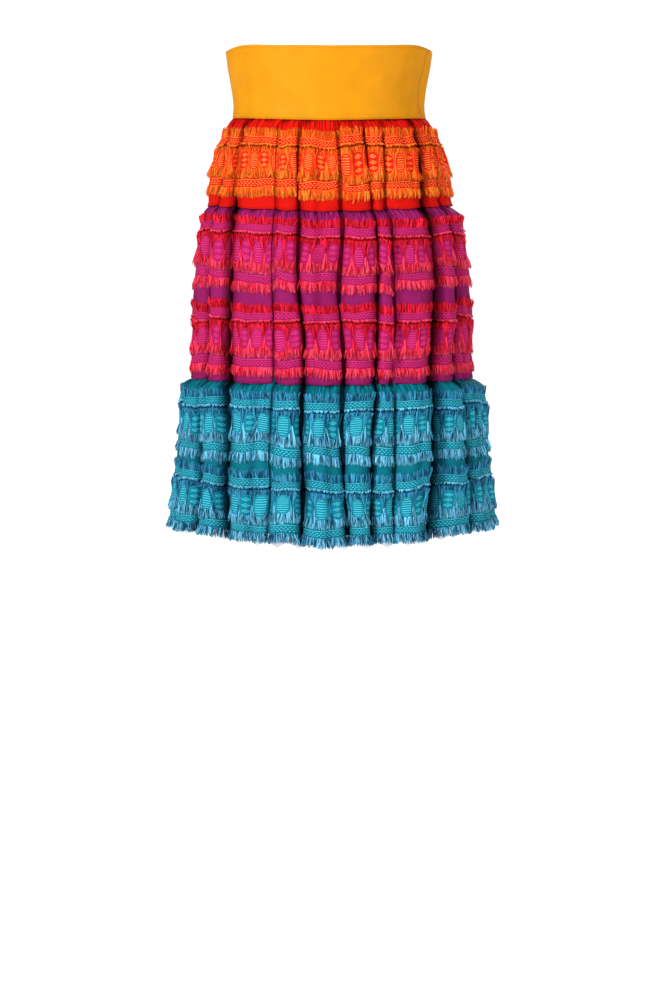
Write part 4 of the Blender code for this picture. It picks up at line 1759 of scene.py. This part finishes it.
class SKIRT_OT_studio(bpy.types.Operator):
    """Build the pale floor, soft lights and camera"""

    bl_idname = "skirt.studio"
    bl_label = "Studio"

    def execute(self, context):
        self.add_floor()
        for light in LIGHTS:
            self.add_light(*light)
        self.add_air(context)
        context.scene.view_settings.view_transform = "Standard"
        self.add_camera(context)
        return {"FINISHED"}

    def add_air(self, context):
        """White all round in the picture, and a weak light from all sides on the skirt."""
        world = bpy.data.worlds.new("Studio air")
        world.use_nodes = True
        build = TreeBuilder(world.node_tree)
        air = world.node_tree.nodes["Background"]
        air.inputs["Color"].default_value = (1.0, 1.0, 1.0, 1.0)
        seen = build.node("ShaderNodeLightPath").outputs["Is Camera Ray"]
        strength = build.math("MULTIPLY_ADD", seen, AIR_SEEN - AIR_LIGHT, AIR_LIGHT)
        build.feed(air.inputs["Strength"], strength)
        context.scene.world = world

    def add_floor(self):
        """A round pale floor, which isn't seen from underneath."""
        turns = [math.tau * i / FLOOR_SIDES for i in range(FLOOR_SIDES)]
        points = [
            (FLOOR_RADIUS * math.cos(turn), FLOOR_RADIUS * math.sin(turn), FLOOR_Z)
            for turn in turns
        ]
        mesh = bpy.data.meshes.new("floor")
        mesh.from_pydata(points, [], [range(FLOOR_SIDES)])
        material, build, shader = new_material("Pale floor", roughness=0.8)
        place = build.node("ShaderNodeTexCoord").outputs["Object"]
        grain = build.clouds(place, 3.0)
        shade = build.plus(0.985, build.times(grain, 0.03))
        build.feed(shader.inputs["Base Color"], shaded(build, opaque(colours().floor), shade))
        shader.inputs["Emission Color"].default_value = (1.0, 1.0, 1.0, 1.0)
        seen = build.node("ShaderNodeLightPath").outputs["Is Camera Ray"]
        glow = build.math("MULTIPLY_ADD", seen, FLOOR_SEEN - FLOOR_GLOW, FLOOR_GLOW)
        build.feed(shader.inputs["Emission Strength"], glow)
        underside = build.node("ShaderNodeNewGeometry").outputs["Backfacing"]
        build.feed(shader.inputs["Alpha"], build.minus(1.0, underside))
        mesh.materials.append(material)
        floor = linked("floor", mesh)

    def add_light(self, name, place, size, power):
        light = bpy.data.lights.new(name, "AREA")
        light.shape = "RECTANGLE"
        light.size, light.size_y = size
        light.energy = power
        lamp = linked(name, light)
        lamp.location = place
        towards = Vector((0.0, 0.0, LIGHT_AIM_Z)) - Vector(place)
        lamp.rotation_euler = towards.to_track_quat("-Z", "Y").to_euler()

    def add_camera(self, context):
        camera = bpy.data.cameras.new("Camera")
        camera.lens = CAMERA_LENS
        camera.sensor_width = 36.0
        camera.clip_end = 50.0
        holder = linked("Camera", camera)
        holder.location = CAMERA_PLACE
        fall = math.atan2(CAMERA_PLACE[2] - CAMERA_AIM_Z, -CAMERA_PLACE[1])
        holder.rotation_euler = (math.pi / 2 - fall, 0.0, 0.0)
        context.scene.camera = holder


class SKIRT_PT_panel(bpy.types.Panel):
    """Skirt sizes, colours and steps"""

    bl_idname = "SKIRT_PT_panel"
    bl_label = "Tiered skirt"
    bl_space_type = "VIEW_3D"
    bl_region_type = "UI"
    bl_category = "Skirt"

    def draw(self, context):
        for group in (context.scene.skirt_sizes, context.scene.skirt_colours):
            column = self.layout.column()
            for name in group.__annotations__:
                column.prop(group, name)
        for step in STEPS:
            self.layout.operator(step.bl_idname)


STEPS = (SKIRT_OT_waistband, SKIRT_OT_tiers, SKIRT_OT_lining, SKIRT_OT_studio)
CLASSES = (SkirtSizes, SkirtColours, *STEPS, SKIRT_PT_panel)


def register():
    for item in CLASSES:
        bpy.utils.register_class(item)
    bpy.types.Scene.skirt_sizes = bpy.props.PointerProperty(type=SkirtSizes)
    bpy.types.Scene.skirt_colours = bpy.props.PointerProperty(type=SkirtColours)


def unregister():
    del bpy.types.Scene.skirt_colours
    del bpy.types.Scene.skirt_sizes
    for item in reversed(CLASSES):
        bpy.utils.unregister_class(item)


def main():
    register()
    make_weave_group()
    make_gathers_group()
    make_lying_threads_group()
    make_braid_group()
    make_ovals_group()
    make_fringe_tree()
    make_stitch_tree()
    bpy.ops.skirt.waistband()
    bpy.ops.skirt.tiers()
    bpy.ops.skirt.lining()
    bpy.ops.skirt.studio()


if __name__ == "__main__":
    main()
